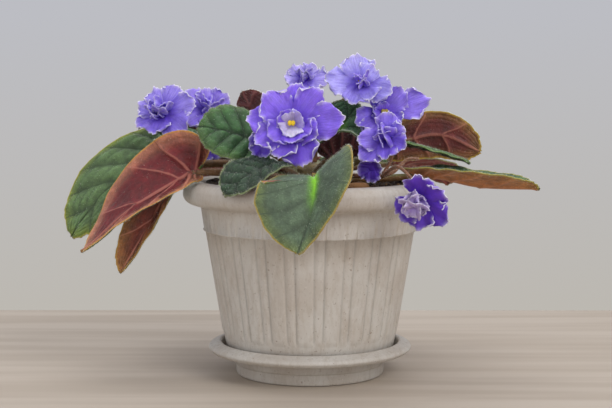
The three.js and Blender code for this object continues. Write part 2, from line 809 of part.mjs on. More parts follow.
// The flowers: at is the middle of the hub, face the way that the flower looks, rings its petals as for
// petalGrid. closed marks those too little open to show their anthers.
const FLOWERS = [
  {
    name: "flower_centre",
    at: [-9, -50, 139],
    face: [-0.1, -1, 0.25],
    rise: 5.2,
    rings: [
      [
        [5, 28, 10.5, 10, 5],
        [50, 24, 9, 14, 0],
        [82, 22, 9, 2, 10],
        [132, 22, 10.5, 14, 0],
        [172, 24, 10, 4, 10],
        [208, 22, 9, 14, 0],
        [248, 21, 9, 22, -5],
        [288, 24, 11, 14, -5],
        [332, 17, 8, 26, 0],
      ],
      [
        [30, 10, 6, 50, 0],
        [110, 9, 6, 55, 0],
        [190, 10, 6, 50, 0],
        [275, 11, 6, 45, 0],
      ],
    ],
  },
  {
    name: "flower_under",
    at: [-24, -37, 129.8],
    face: [-0.3, -0.9, -0.1],
    closed: true,
    rings: [
      [
        [150, 8, 5, 16, 0],
        [215, 9, 5.5, 20, 0],
        [275, 9, 5.5, 24, 0],
        [335, 9, 5.5, 20, 0],
        [60, 8, 6, 12, 0],
      ],
    ],
  },
  {
    name: "flower_top",
    at: [27.5, -14, 160],
    face: [0.05, -0.9, 0.45],
    rings: [
      [
        [100, 16.5, 10.5, 12, 0],
        [45, 12, 8, 16, 0],
        [335, 18, 8.5, 12, 0],
        [290, 14, 8, 24, 0],
        [245, 16, 9, 16, 0],
        [176, 20, 10, 8, 0],
      ],
    ],
  },
  {
    name: "flower_top_back",
    at: [-3, 22, 161.5],
    face: [-0.1, -0.7, 0.7],
    rings: [
      [
        [170, 12, 8, 14, 0],
        [112, 11, 8, 16, 0],
        [50, 11, 8, 14, 0],
        [350, 15, 8, 12, 0],
        [240, 11, 8, 16, 0],
      ],
    ],
  },
  {
    name: "flower_right",
    at: [40, -13, 144],
    face: [0.1, -0.9, 0.35],
    rings: [
      [
        [15, 26, 9, 10, 0],
        [46, 17, 8, 23, 0],
        [100, 13, 8, 14, 0],
        [205, 18, 9, 12, 0],
        [238, 20, 9, 14, 0],
        [310, 12, 7, 16, 0],
      ],
    ],
  },
  {
    name: "flower_ruffled",
    at: [40, -42, 132],
    face: [-0.15, -0.9, 0.25],
    rings: [
      [
        [85, 14, 7, 22, 0],
        [20, 12, 6, 26, 0],
        [330, 13, 6.5, 22, 0],
        [270, 14, 7, 26, 0],
        [225, 19, 8, 16, 0],
        [190, 16, 7, 20, 0],
      ],
    ],
  },
  {
    name: "flower_shaded",
    at: [32.5, -37.5, 116],
    face: [-0.2, -0.9, -0.2],
    closed: true,
    rings: [
      [
        [20, 6, 4.5, 20, 0],
        [100, 7, 5, 20, 0],
        [180, 8, 5, 24, 0],
        [270, 8, 5, 24, 0],
      ],
    ],
  },
  {
    name: "flower_hanging",
    at: [55, -64, 102],
    face: [-0.3, -0.85, -0.35],
    rise: 4.7,
    rings: [
      [
        [80, 16, 8.5, 14, 0],
        [14, 17.5, 9, 14, 0],
        [325, 19.5, 9, 12, 0],
        [268, 16, 9.5, 16, 0],
        [218, 14, 8.5, 18, 0],
      ],
      [
        [150, 10, 4.6, 48, 0],
        [232, 11, 4.6, 50, 0],
        [318, 10.5, 4.6, 48, 0],
        [62, 9, 4, 50, 0],
      ],
    ],
  },
  {
    name: "flower_left",
    at: [-81, 3, 144],
    face: [-0.2, -0.8, 0.5],
    rings: [
      [
        [162, 15, 9, 12, 0],
        [112, 15, 8, 14, 0],
        [62, 17, 8.5, 12, 0],
        [8, 18, 8, 18, 0],
        [318, 22, 9, 14, 0],
        [268, 18, 8.5, 20, 0],
        [222, 17, 8.5, 12, 0],
      ],
    ],
  },
  {
    name: "flower_left_inner",
    at: [-56, 12, 146],
    face: [0.15, -0.8, 0.5],
    rings: [
      [
        [30, 13, 8, 12, 0],
        [90, 12, 8, 14, 0],
        [150, 13.5, 7.5, 14, 0],
        [214, 17, 8, 14, 0],
        [262, 15, 8, 20, 0],
        [312, 13, 8, 18, 0],
      ],
    ],
  },
  {
    name: "flower_left_low",
    at: [-55.4, -2, 125.6],
    face: [0.1, -0.9, 0.2],
    closed: true,
    rings: [
      [
        [20, 9, 6, 16, 0],
        [90, 9, 6, 16, 0],
        [165, 9, 6, 16, 0],
        [235, 10, 6, 20, 0],
        [300, 10, 6, 20, 0],
      ],
    ],
  },
];

// The flower stalks: trunk runs from the crown to a fork, and each branch from there towards its
// flower's back, which it reaches square on. loose holds side stalks that have lost their flowers.
const TRUNK_RADIUS = 1.4;
const BRANCH_RADIUS = 0.9;
const STALKS = [
  {
    name: "stalk_centre",
    trunk: [[-1, -4.6, 116.5], [-1.2, -5.4, 121], [-4, -22, 128]],
    branches: { flower_centre: [-7, -38, 134], flower_under: [-15, -28, 129.5] },
    loose: [],
  },
  {
    name: "stalk_top",
    trunk: [[2.5, 3, 116.5], [2.8, 3.6, 121], [6, 7, 138]],
    branches: { flower_top: [17, 2, 150], flower_top_back: [0, 18, 150], flower_right: [28, 3, 141] },
    loose: [],
  },
  {
    name: "stalk_left",
    trunk: [[-4.6, 1.5, 116.5], [-5.4, 1.6, 121], [-34, 2, 129]],
    branches: {
      flower_left: [-66, 6, 136],
      flower_left_inner: [-50, 12, 136],
      flower_left_low: [-48, 4, 127],
    },
    loose: [],
  },
  {
    name: "stalk_right",
    trunk: [[6.2, -7.6, 110.5], [12, -14, 112], [24, -25, 111], [38, -35, 111.5]],
    branches: {
      flower_ruffled: [43, -36, 122],
      flower_shaded: [37, -31.5, 114.5],
      flower_hanging: [46, -47, 117],
    },
    loose: [[[38, -35, 111.5], [44, -37, 114], [51, -38, 120.5], [57, -40, 121]]],
  },
];

// The calyx: five pointed sepals behind a flower.
function calyx(frame) {
  const ring = (z, tip) => {
    const points = [];
    for (let k = 0; k < 10; k++) {
      const a = (2 * Math.PI * k) / 10;
      const r = k % 2 === 0 ? tip : 1.7;
      const point = new THREE.Vector3(r * Math.cos(a), r * Math.sin(a), z + 0.12 * r);
      points.push(point.applyMatrix4(frame.place));
    }
    return points;
  };
  const top = -HUB_DEPTH - SEAT_GAP - 0.6;
  return skinned([ring(top - 1, 3.5), ring(top, 5)]);
}

function buildStalk(plan) {
  const fork = plan.trunk[plan.trunk.length - 1];
  const pieces = [stalk(plan.trunk, () => TRUNK_RADIUS, 5, 5)];
  Object.entries(plan.branches).forEach(([name, by]) => {
    const flower = FLOWERS.find((one) => one.name === name);
    const frame = flowerFrame(flower);
    const back = (distance) => vec(flower.at).addScaledVector(frame.face, -distance).toArray();
    const route = [fork, by, back(HUB_DEPTH + 5), back(HUB_DEPTH + SEAT_GAP + 0.8)];
    pieces.push(stalk(route, () => BRANCH_RADIUS, 5, 5), calyx(frame));
  });
  plan.loose.forEach((points) => pieces.push(stalk(points, (t) => lerp(1.1, 0.7, t), 5, 5)));
  return meshOf(plan.name, joined(pieces), stem);
}

const group = new THREE.Group();
group.add(buildPot(), buildSaucer(), buildSoil(), buildCrown());
LEAVES.forEach((leaf) => group.add(buildLeaf(leaf)));
FLOWERS.forEach((flower, k) => group.add(buildFlower(flower, 11 + k)));
FLOWERS.filter((flower) => !flower.closed).forEach((flower) => group.add(buildAnthers(flower)));
STALKS.forEach((plan) => group.add(buildStalk(plan)));
export default group;
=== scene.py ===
"""The looks of a potted African violet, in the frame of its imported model."""

import math

import bpy
import numpy as np
from mathutils import Matrix, Vector


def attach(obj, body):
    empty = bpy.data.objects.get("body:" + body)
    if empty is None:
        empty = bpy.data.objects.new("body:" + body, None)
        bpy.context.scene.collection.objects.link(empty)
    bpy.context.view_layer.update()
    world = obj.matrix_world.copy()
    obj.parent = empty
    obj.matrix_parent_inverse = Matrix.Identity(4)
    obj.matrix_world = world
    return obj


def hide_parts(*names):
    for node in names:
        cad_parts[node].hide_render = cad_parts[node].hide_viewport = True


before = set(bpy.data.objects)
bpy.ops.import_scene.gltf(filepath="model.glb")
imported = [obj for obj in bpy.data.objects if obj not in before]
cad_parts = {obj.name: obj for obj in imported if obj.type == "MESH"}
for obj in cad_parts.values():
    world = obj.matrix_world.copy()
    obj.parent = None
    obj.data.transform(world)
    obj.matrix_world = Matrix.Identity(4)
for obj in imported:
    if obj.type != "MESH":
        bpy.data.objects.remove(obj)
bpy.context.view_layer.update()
MM = 0.001

# The holder's sizes in millimetres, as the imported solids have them
LIP_RADIUS = 70
POT_TOP = 107
FLUTES = 22
POT_WALL = 2.2
POT_BOTTOM = 13.2
POT_FLOOR = 15.8
FOOT_RADIUS = 46.2
REED_SHARE = 0.66
SIDES_A_FLUTE = 20
REEDS_FROM = 23
REEDS_TO = 80
REEDS_TOP_RADIUS = 57.2
COLLAR_TOP = 94
COLLAR_TOP_RADIUS = 60.4
DRAIN_CIRCLE = 24
DRAIN_RADIUS = 3
SAUCER_BASE_RADIUS = 41
SAUCER_LIP_RADIUS = 56.4
SOIL_TOP = 102.6
CROWN_BOTTOM = 88
CROWN_TOP = 116
SOIL_HOLE = 7.6
SOIL_SIDES = 150
SOIL_LUMPS = 1300
CHIP_AT = (25, -46.5, 105)
HUB_DEPTH = 1.8
ANTHERS_APART = 0.85
HAIR_ROOT = 0.15

# How many hairs each leaf has on its margin, upper side, under side and stalk, and the crown has
MARGIN_HAIRS = 1000
UPPER_HAIRS = 1400
UNDER_HAIRS = 450
PETIOLE_HAIRS = 300
CROWN_HAIRS = 400

# Where the random draws of each kind of piece start
SOIL_SEED = 5
CROWN_SEED = 8
FLOWER_SEED = 11
LEAF_SEED = 101
STALK_SEED = 301

# The camera: the photograph's width and focal length in pixels, the place in metres and turns in degrees
PHOTO_WIDTH = 612
FOCAL_LENGTH = 1424
SENSOR = 36
CAMERA_AT = (0, -0.784, 0.166)
CAMERA_DOWN = 5.28
CAMERA_TURN = 0.16
TABLE_REACH = 3000
TABLE_BACK = 204
TABLE_TOP = -0.2


def colour(r, g, b):
    """Display values from 0 to 255 as the scene's linear colour."""
    value = np.array([r, g, b], float) / 255
    return np.where(value <= 0.04045, value / 12.92, ((value + 0.055) / 1.055) ** 2.4)


def unit(v):
    v = np.asarray(v, float)
    return v / np.maximum(np.linalg.norm(v, axis=-1, keepdims=True), 1e-12)


def smooth(x, low, high):
    x = np.clip((np.asarray(x, float) - low) / (high - low), 0, 1)
    return x * x * (3 - 2 * x)


def lerp(a, b, t):
    return a + (b - a) * t


def turns(count):
    """Angles evenly round a circle."""
    return 2 * np.pi * np.arange(count) / count


def spline(points, t, kind="uniform"):
    """Catmull-Rom through the points at t from 0 to 1, and its direction there."""
    p = np.array(points, float)
    ends = (p[0], p[-1]) if kind == "clamped" else (2 * p[0] - p[1], 2 * p[-1] - p[-2])
    q = np.vstack([ends[0], p, ends[1]])
    x = np.clip(np.asarray(t, float), 0, 1) * (len(p) - 1)
    i = np.minimum(x.astype(int), len(p) - 2)
    w = (x - i)[..., None]
    a, b, c, d = q[i], q[i + 1], q[i + 2], q[i + 3]
    if kind == "centripetal":
        gaps = [np.sqrt(np.linalg.norm(n - m, axis=-1))[..., None] for m, n in ((a, b), (b, c), (c, d))]
        m = gaps[1] * ((b - a) / gaps[0] - (c - a) / (gaps[0] + gaps[1]) + (c - b) / gaps[1])
        n = gaps[1] * ((c - b) / gaps[1] - (d - b) / (gaps[1] + gaps[2]) + (d - c) / gaps[2])
    else:
        m, n = (c - a) / 2, (d - b) / 2
    square, cube = -3 * b + 3 * c - 2 * m - n, 2 * b - 2 * c + m + n
    return b + m * w + square * w**2 + cube * w**3, unit(m + 2 * square * w + 3 * cube * w**2)


def evenly(points, count, kind):
    """Points and directions at equal steps of length along a spline."""
    fine = np.linspace(0, 1, 600)
    line = spline(points, fine, kind)[0]
    run = np.concatenate([[0], np.cumsum(np.linalg.norm(np.diff(line, axis=0), axis=1))])
    return spline(points, np.interp(np.linspace(0, run[-1], count), run, fine), kind)


def add_object(name, data):
    made = bpy.data.objects.new(name, data)
    bpy.context.scene.collection.objects.link(made)
    return made


class Shape:
    """A mesh in the making: points in millimetres, faces, and values carried by each point."""

    VALUES = {"tint": 3, "line": 3, "rim": 3, "vein": 1, "gap": 1, "edge": 1, "rib": 1, "grain": 3}
    REST = {"vein": 0.5, "gap": 9.0, "edge": 9.0, "rib": 9.0}
    KINDS = {3: ("FLOAT_VECTOR", "vector"), 1: ("FLOAT", "value")}

    def __init__(self, name):
        self.name = name
        self.points = []
        self.faces = []
        self.values = {key: [] for key in self.VALUES}
        self.count = 0

    def add(self, points, faces, **values):
        points = np.asarray(points, float).reshape(-1, 3)
        n = len(points)
        self.points.append(points)
        for block in faces if isinstance(faces, list) else [faces]:
            self.faces.append(np.asarray(block, int) + self.count)
        for key, width in self.VALUES.items():
            value = np.asarray(values.get(key, self.REST.get(key, 0.0)), float)
            if width == 3:
                value = np.broadcast_to(value if value.ndim else np.full(3, float(value)), (n, 3))
            else:
                value = np.broadcast_to(value, (n,))
            self.values[key].append(value)
        self.count += n

    def plain(self, points, faces, tone, **values):
        """Adds points that have one colour all over."""
        self.add(points, faces, tint=tone, line=tone, rim=tone, **values)

    def finish(self, material, slot, *nodes, stage=False):
        points = np.vstack(self.points) * MM
        mesh = bpy.data.meshes.new(self.name)
        mesh.vertices.add(len(points))
        mesh.vertices.foreach_set("co", points.astype(np.float32).ravel())
        sizes = np.concatenate([np.full(len(f), f.shape[1]) for f in self.faces])
        mesh.loops.add(int(sizes.sum()))
        corners = np.concatenate([f.ravel() for f in self.faces]).astype(np.int32)
        mesh.loops.foreach_set("vertex_index", corners)
        mesh.polygons.add(len(sizes))
        mesh.polygons.foreach_set("loop_start", (np.cumsum(sizes) - sizes).astype(np.int32))
        mesh.polygons.foreach_set("use_smooth", np.ones(len(sizes), bool))
        for key, width in self.VALUES.items():
            data = np.concatenate(self.values[key]).astype(np.float32)
            kind, field = self.KINDS[width]
            mesh.attributes.new(key, kind, "POINT").data.foreach_set(field, data.ravel())
        mesh.update(calc_edges=True)
        mesh.validate()
        piece = add_object(self.name, mesh)
        mesh.materials.append(material)
        if stage:
            return piece
        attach(piece, "root")
        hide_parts(*nodes)
        return piece


def grid_faces(rows, columns, wrap=False):
    """Quads of a grid of points; wrap joins the last column to the first."""
    i = np.arange(rows - 1)[:, None]
    j = np.arange(columns if wrap else columns - 1)[None, :]
    k = (j + 1) % columns
    a = i * columns + j
    b = i * columns + k
    return np.stack([a, a + columns, b + columns, b], -1).reshape(-1, 4)


def tube(rings):
    """Points and faces of closed rings, skinned and capped."""
    rings = np.asarray(rings)
    rows, sides = rings.shape[:2]
    j = np.arange(sides)
    k = (j + 1) % sides
    i = np.arange(rows - 1)[:, None]
    a, b = i * sides + j, i * sides + k
    walls = np.stack([a, b, b + sides, a + sides], -1).reshape(-1, 4)
    last = (rows - 1) * sides
    first_cap = np.stack([np.full(sides - 2, 0), j[2:], j[1:-1]], -1)
    last_cap = np.stack([np.full(sides - 2, last), last + j[1:-1], last + j[2:]], -1)
    return rings.reshape(-1, 3), [walls, first_cap, last_cap]


def sheet_faces(rows, columns):
    """Faces of a closed sheet: its upper points, then its lower ones, in the same grid."""
    upper = grid_faces(rows, columns)
    count = rows * columns
    lower = upper[:, ::-1] + count
    rim = np.concatenate(
        [
            np.arange(columns - 1),
            np.arange(rows - 1) * columns + columns - 1,
            (rows - 1) * columns + np.arange(columns - 1, 0, -1),
            np.arange(rows - 1, 0, -1) * columns,
        ]
    )
    ahead = np.roll(rim, -1)
    side = np.stack([rim, ahead, ahead + count, rim + count], -1)
    return [np.vstack([upper, lower, side])]


def hairs(shape, roots, directions, lengths, radius, tint, draw):
    """Thin closed spikes, each a tetrahedron."""
    d = unit(directions)
    a = unit(np.cross(d, unit(draw.normal(size=d.shape))))
    b = np.cross(d, a)
    base = roots - d * HAIR_ROOT
    thirds = [0, 2 * np.pi / 3, 4 * np.pi / 3]
    corners = [base + radius * (a * math.cos(t) + b * math.sin(t)) for t in thirds]
    tip = roots + d * np.asarray(lengths)[:, None]
    points = np.stack([*corners, tip], 1).reshape(-1, 3)
    k = np.arange(len(roots))[:, None] * 4
    faces = np.vstack([k + [0, 1, 3], k + [1, 2, 3], k + [2, 0, 3], k + [0, 2, 1]])
    shape.plain(points, faces, tint)


class Nodes:
    """A node tree written as calls. Plain numbers go straight into sockets."""

    def __init__(self, tree):
        self.tree = tree

    def plug(self, socket, value):
        if isinstance(value, bpy.types.NodeSocket):
            self.tree.links.new(value, socket)
        else:
            socket.default_value = value

    def node(self, kind, inputs, out=0, **props):
        made = self.tree.nodes.new(kind)
        for key, value in props.items():
            setattr(made, key, value)
        for key, value in inputs.items():
            self.plug(made.inputs[key], value)
        return made.outputs[out]

    def math(self, operation, *values):
        return self.node("ShaderNodeMath", dict(enumerate(values)), operation=operation)

    def mix(self, factor, a, b):
        a, b = (c if isinstance(c, bpy.types.NodeSocket) else (*c, 1.0) for c in (a, b))
        return self.node("ShaderNodeMix", {0: factor, 6: a, 7: b}, out=2, data_type="RGBA")


class Paint(Nodes):
    """A material, with its sockets' plain values by name."""

    def __init__(self, name, **sockets):
        self.material = bpy.data.materials.new(name)
        self.material.use_nodes = True
        super().__init__(self.material.node_tree)
        self.shader = self.tree.nodes["Principled BSDF"]
        for key, value in sockets.items():
            self.shader.inputs[key.replace("_", " ")].default_value = value

    def value(self, name):
        return self.node("ShaderNodeAttribute", {}, out="Fac", attribute_name=name)

    def vector(self, name):
        return self.node("ShaderNodeAttribute", {}, out="Vector", attribute_name=name)

    def place(self):
        return self.node("ShaderNodeTexCoord", {}, out="Object")

    def noise(self, scale, detail=2.0, at=None, rough=0.5):
        inputs = {"Vector": at or self.place(), "Scale": scale, "Detail": detail, "Roughness": rough}
        return self.node("ShaderNodeTexNoise", inputs, out="Fac")

    def band(self, value, low, high, start=0.0, end=1.0):
        """A smooth step from start to end as value goes from low to high."""
        inputs = {0: value, 1: low, 2: high, 3: start, 4: end}
        return self.node("ShaderNodeMapRange", inputs, interpolation_type="SMOOTHSTEP")

    def scaled(self, tone, amount):
        """A colour made lighter or darker by a number that varies."""
        return self.node("ShaderNodeVectorMath", {0: tone, "Scale": amount}, operation="SCALE")

    def bump(self, height, strength, distance):
        inputs = {"Height": height, "Strength": strength, "Distance": distance}
        return self.node("ShaderNodeBump", inputs)

    def done(self, base, roughness=None, normal=None):
        self.plug(self.shader.inputs["Base Color"], base)
        if roughness is not None:
            self.plug(self.shader.inputs["Roughness"], roughness)
        if normal:
            self.plug(self.shader.inputs["Normal"], normal)
        return self.material


def plastic_paint(name):
    """Pale stone-look plastic: warm grey with brown and light specks and faint upright streaks."""
    p = Paint(name, Roughness=0.5, Specular_IOR_Level=0.4)
    place = p.place()
    streaked = p.node("ShaderNodeMapping", {"Vector": place, "Scale": (1.0, 1.0, 0.25)})
    cloud = p.noise(45, 3, place)
    streak = p.noise(420, 3, streaked, 0.6)
    tone = p.mix(p.band(cloud, 0.35, 0.65), colour(187, 179, 169), colour(197, 192, 184))
    tone = p.mix(p.band(streak, 0.42, 0.7, 0, 0.3), tone, colour(164, 150, 132))
    # Painted shade: the pot's grooves between the reeds, given by the vein value, are darkened.
    tone = p.scaled(tone, p.band(p.value("vein"), 0.0, 1.0, 1.0, 0.84))
    for scale, jagged, at, low, high, share, speck in (
        (1500, 0.7, streaked, 0.6, 0.74, 0.4, (136, 114, 92)),
        (620, 0.6, place, 0.66, 0.74, 0.6, (112, 90, 70)),
        (900, 0.6, place, 0.62, 0.75, 0.4, (214, 209, 200)),
    ):
        tone = p.mix(p.band(p.noise(scale, 2, at, jagged), low, high, 0, share), tone, colour(*speck))
    rough = p.band(streak, 0.3, 0.7, 0.44, 0.6)
    relief = p.math("ADD", p.noise(900, 2, place), p.math("MULTIPLY", cloud, 0.5))
    return p.done(tone, rough, p.bump(relief, 0.25, 0.0003))


def leaf_paint(name, depth=0.12):
    """Velvety leaf skin: mottled, with veins, a rib and a margin in colours carried by the mesh."""
    sheen = dict(Sheen_Weight=0.1, Sheen_Roughness=0.45, Sheen_Tint=(0.93, 0.97, 0.88, 1))
    inside = dict(Subsurface_Weight=depth, Subsurface_Radius=(1.0, 0.7, 0.3), Subsurface_Scale=0.0012)
    p = Paint(name, Roughness=0.62, **sheen, **inside)
    place = p.place()
    mottle = p.noise(260, 4, place, 0.65)
    pile = p.noise(1700, 2, place, 0.7)
    tone = p.scaled(p.vector("tint"), p.band(mottle, 0.28, 0.72, 0.72, 1.3))
    tone = p.scaled(tone, p.band(p.noise(75, 2, place), 0.3, 0.7, 0.82, 1.2))
    tone = p.scaled(tone, p.band(pile, 0.3, 0.7, 0.86, 1.16))
    wander = p.math("MULTIPLY_ADD", p.noise(420, 2, place), 0.8, -0.4)
    off_vein = p.math("MULTIPLY", p.math("PINGPONG", p.value("vein"), 0.5), p.value("gap"))
    to_vein = p.math("ADD", off_vein, wander)
    near = p.math("MAXIMUM", p.band(to_vein, 0.1, 0.75, 1, 0), p.band(p.value("rib"), 0.5, 1.3, 1, 0))
    net = p.node("ShaderNodeTexVoronoi", {"Vector": place, "Scale": 330.0}, feature="DISTANCE_TO_EDGE")
    near = p.math("MAXIMUM", near, p.band(net, 0.0, 0.1, 0.1, 0))
    # The line colour: painted shade in the upper side's sunken veins, the veins' own pale colour beneath.
    tone = p.mix(p.math("MULTIPLY", near, 0.8), tone, p.vector("line"))
    edge = p.math("ADD", p.value("edge"), p.math("MULTIPLY", wander, 0.8))
    tone = p.mix(p.band(edge, 0.15, 1.3, 0.85, 0), tone, p.vector("rim"))
    relief = p.math("ADD", pile, p.math("MULTIPLY", p.band(net, 0.0, 0.2), 0.7))
    return p.done(tone, p.band(mottle, 0.3, 0.7, 0.56, 0.7), p.bump(relief, 0.45, 0.0003))


def petal_paint(name):
    """Violet petal: darker at its root, streaked along its length, with a pale frilled margin."""
    sheen = dict(Sheen_Weight=0.08, Sheen_Roughness=0.4, Sheen_Tint=(0.85, 0.82, 1.0, 1))
    inside = dict(Subsurface_Weight=0.2, Subsurface_Radius=(0.7, 0.5, 1.0), Subsurface_Scale=0.0015)
    p = Paint(name, Roughness=0.55, **sheen, **inside)
    place = p.place()
    grain = p.vector("grain")
    streak = p.noise(1.0, 3, grain, 0.6)
    mottle = p.noise(230, 3, place, 0.6)
    sparkle = p.noise(2400, 1, place, 0.6)
    share = p.value("vein")
    # The root colour is partly the petal's own deeper violet, partly painted shade where the petals overlap.
    tone = p.mix(p.band(share, 0.15, 0.75), p.vector("line"), p.vector("tint"))
    tone = p.mix(p.band(streak, 0.34, 0.66, 0.5, 0), tone, p.vector("line"))
    tone = p.scaled(tone, p.band(mottle, 0.3, 0.7, 0.88, 1.1))
    tone = p.scaled(tone, p.band(sparkle, 0.45, 0.7, 0.97, 1.08))
    wobble = p.math("MULTIPLY_ADD", p.noise(900, 2, place), 1.0, -0.5)
    edge = p.math("ADD", p.value("edge"), wobble)
    tone = p.mix(p.band(edge, 0.3, 2.6, 0.3, 0), tone, p.vector("rim"))
    tone = p.mix(p.band(edge, 0.05, 0.6, 0.9, 0), tone, p.vector("rim"))
    relief = p.math("ADD", streak, p.math("MULTIPLY", sparkle, 0.4))
    return p.done(tone, p.band(mottle, 0.3, 0.7, 0.45, 0.62), p.bump(relief, 0.5, 0.0003))


def soil_paint(name):
    p = Paint(name, Roughness=0.95)
    place = p.place()
    tone = p.mix(p.band(p.noise(240, 4, place, 0.7), 0.3, 0.7), colour(30, 23, 18), colour(74, 58, 44))
    tone = p.mix(p.band(p.noise(900, 2, place, 0.7), 0.62, 0.74, 0, 0.7), tone, colour(128, 104, 78))
    relief = p.noise(700, 4, place, 0.7)
    return p.done(p.mix(p.value("rib"), p.vector("tint"), tone), None, p.bump(relief, 0.9, 0.001))


def pollen_paint(name):
    p = Paint(name, Roughness=0.7, Subsurface_Weight=0.1, Subsurface_Scale=0.0008)
    grain = p.noise(3200, 2)
    tone = p.scaled(p.vector("tint"), p.band(grain, 0.3, 0.7, 0.78, 1.15))
    return p.done(tone, None, p.bump(grain, 0.6, 0.0002))


PLASTIC = plastic_paint("plastic_stone")
LEAF = leaf_paint("leaf_skin")
STEM = leaf_paint("stem_skin", 0.08)
PETAL = petal_paint("petal_skin")
SOIL = soil_paint("soil_crumb")
POLLEN = pollen_paint("pollen_grain")


def lathe(profile, sides, relief=None):
    """Rings of a profile of [radius, height] points about Z; relief(angle, height) adds to the radius."""
    a = turns(sides)
    rings = []
    for r, z in profile:
        reach = r + (relief(a, z) if relief else 0)
        rings.append(np.stack([reach * np.cos(a), reach * np.sin(a), np.full(sides, float(z))], -1))
    return np.array(rings)


def rounded(points, radius, steps=4):
    """A profile with each inner corner rounded by a short arc."""
    points = [np.array(p, float) for p in points]
    made = [points[0]]
    for before, at, after in zip(points, points[1:], points[2:]):
        cut = min(radius, 0.45 * np.linalg.norm(at - before), 0.45 * np.linalg.norm(after - at))
        a, b = at + unit(before - at) * cut, at + unit(after - at) * cut
        for k in range(steps + 1):
            t = k / steps
            made.append((1 - t) ** 2 * a + 2 * t * (1 - t) * at + t * t * b)
    return made + [points[-1]]


def body_radius(z):
    return lerp(FOOT_RADIUS, REEDS_TOP_RADIUS, (z - POT_BOTTOM) / (REEDS_TO - POT_BOTTOM))


def flutes(angle, z):
    """How far the wide reeds and narrow beads stand out."""
    if not REEDS_FROM - 1 < z < REEDS_TO + 0.5:
        return 0
    share = (angle * FLUTES / (2 * np.pi)) % 1
    reed = (1 - np.abs(2 * share / REED_SHARE - 1).clip(0, 1) ** 5) ** 0.7
    bead = 0.9 * (1 - np.abs(2 * (share - REED_SHARE) / (1 - REED_SHARE) - 1).clip(0, 1) ** 2.4) ** 0.7
    rise = np.where(share < REED_SHARE, reed, bead)
    ends = float(smooth(z, REEDS_FROM - 1, REEDS_FROM + 2.5) ** 0.6)
    return (rise * 1.1 - 0.5) * ends


def build_pot():
    heel = [FOOT_RADIUS, POT_BOTTOM + 1.8]
    foot = rounded([[0.01, POT_BOTTOM], [FOOT_RADIUS - 1.2, POT_BOTTOM], heel], 0.6)
    foot += [[body_radius(REEDS_FROM - 1.5), REEDS_FROM - 1.5]]
    body = [[body_radius(z), z] for z in (21.9, 22.2, 22.6, 23.1, 23.8, 24.6, 25.6, 27, 40, 53, 66, 79.4)]
    lip = [
        [REEDS_TOP_RADIUS + 0.75, REEDS_TO - 0.4],
        [REEDS_TOP_RADIUS + 1.2, REEDS_TO + 0.2],
        [COLLAR_TOP_RADIUS, COLLAR_TOP],
        [LIP_RADIUS - 4.6, COLLAR_TOP + 0.3],
        [LIP_RADIUS - 1.3, COLLAR_TOP + 2.1],
        [LIP_RADIUS + 0.1, COLLAR_TOP + 5],
        [LIP_RADIUS - 0.3, COLLAR_TOP + 9.4],
        [LIP_RADIUS - 2.1, POT_TOP - 0.9],
        [LIP_RADIUS - 4.8, POT_TOP],
        [COLLAR_TOP_RADIUS - POT_WALL + 1.9, POT_TOP],
        [COLLAR_TOP_RADIUS - POT_WALL + 0.9, POT_TOP - 1.4],
        [COLLAR_TOP_RADIUS - POT_WALL, COLLAR_TOP],
        [REEDS_TOP_RADIUS - POT_WALL, REEDS_TO],
        [FOOT_RADIUS - POT_WALL, POT_FLOOR],
        [0.01, POT_FLOOR],
    ]
    profile = [*foot, *body, *rounded(lip, 1.6)]
    rings = lathe(profile, FLUTES * SIDES_A_FLUTE, flutes)
    inner = len(foot) + len(body) + 5
    rings[inner:] = lathe(profile, FLUTES * SIDES_A_FLUTE)[inner:]
    shape = Shape("pot_fine")
    points, faces = tube(rings[::-1, ::-1])
    # The vein value here is the painted shade of the grooves.
    shape.add(points, faces, vein=groove_shade(points))
    drill(shape.finish(PLASTIC, "plastic", "pot"))


def groove_shade(points):
    """The painted shade at each point of the pot, from 0 to 1 in the grooves between the reeds and beads."""
    x, y, z = np.asarray(points).T
    share = (np.arctan2(y, x) * FLUTES / (2 * np.pi)) % 1
    to_groove = np.minimum(np.abs(share - REED_SHARE), np.minimum(share, 1 - share))
    outside = np.hypot(x, y) > body_radius(z) - 1
    reeded = smooth(z, REEDS_FROM, REEDS_FROM + 3) * (z < REEDS_TO - 0.5) * outside
    return np.exp(-((to_groove / 0.035) ** 2)) * reeded


def drill(pot):
    """Cuts the drain holes through the pot's floor."""
    cutters = Shape("drain_cutters")
    hole = lathe([[DRAIN_RADIUS, POT_BOTTOM - 3], [DRAIN_RADIUS, POT_FLOOR + 3]], 24)
    for turn in turns(4):
        middle = [DRAIN_CIRCLE * math.cos(turn), DRAIN_CIRCLE * math.sin(turn), 0]
        cutters.add(*tube(hole + middle))
    tool = cutters.finish(PLASTIC, None, stage=True)
    cut = pot.modifiers.new("drain", "BOOLEAN")
    cut.operation = "DIFFERENCE"
    cut.object = tool
    graph = bpy.context.evaluated_depsgraph_get()
    mesh = bpy.data.meshes.new_from_object(pot.evaluated_get(graph))
    pot.modifiers.clear()
    pot.data = mesh
    bpy.data.objects.remove(tool)


def build_saucer():
    base = SAUCER_BASE_RADIUS
    lip = SAUCER_LIP_RADIUS
    profile = [
        [0.01, 0],
        [base - 0.5, 0],
        [base, 0.9],
        [base + 0.3, 6],
        [base + 1.2, 6.6],
        [base + 2, 10.9],
        [lip - 1.6, 12.6],
        [lip, 14.6],
        [lip - 0.9, 16.2],
        [lip - 6.2, 18.4],
        [lip - 7.4, 17.8],
        [lip - 8.2, 12.9],
        [base - 1.6, 12.9],
        [base - 2.6, 2.4],
        [0.01, 2.4],
    ]
    shape = Shape("saucer_fine")
    points, faces = tube(lathe(rounded(profile, 0.9), 192))
    shape.add(points, faces)
    shape.finish(PLASTIC, "plastic", "saucer")


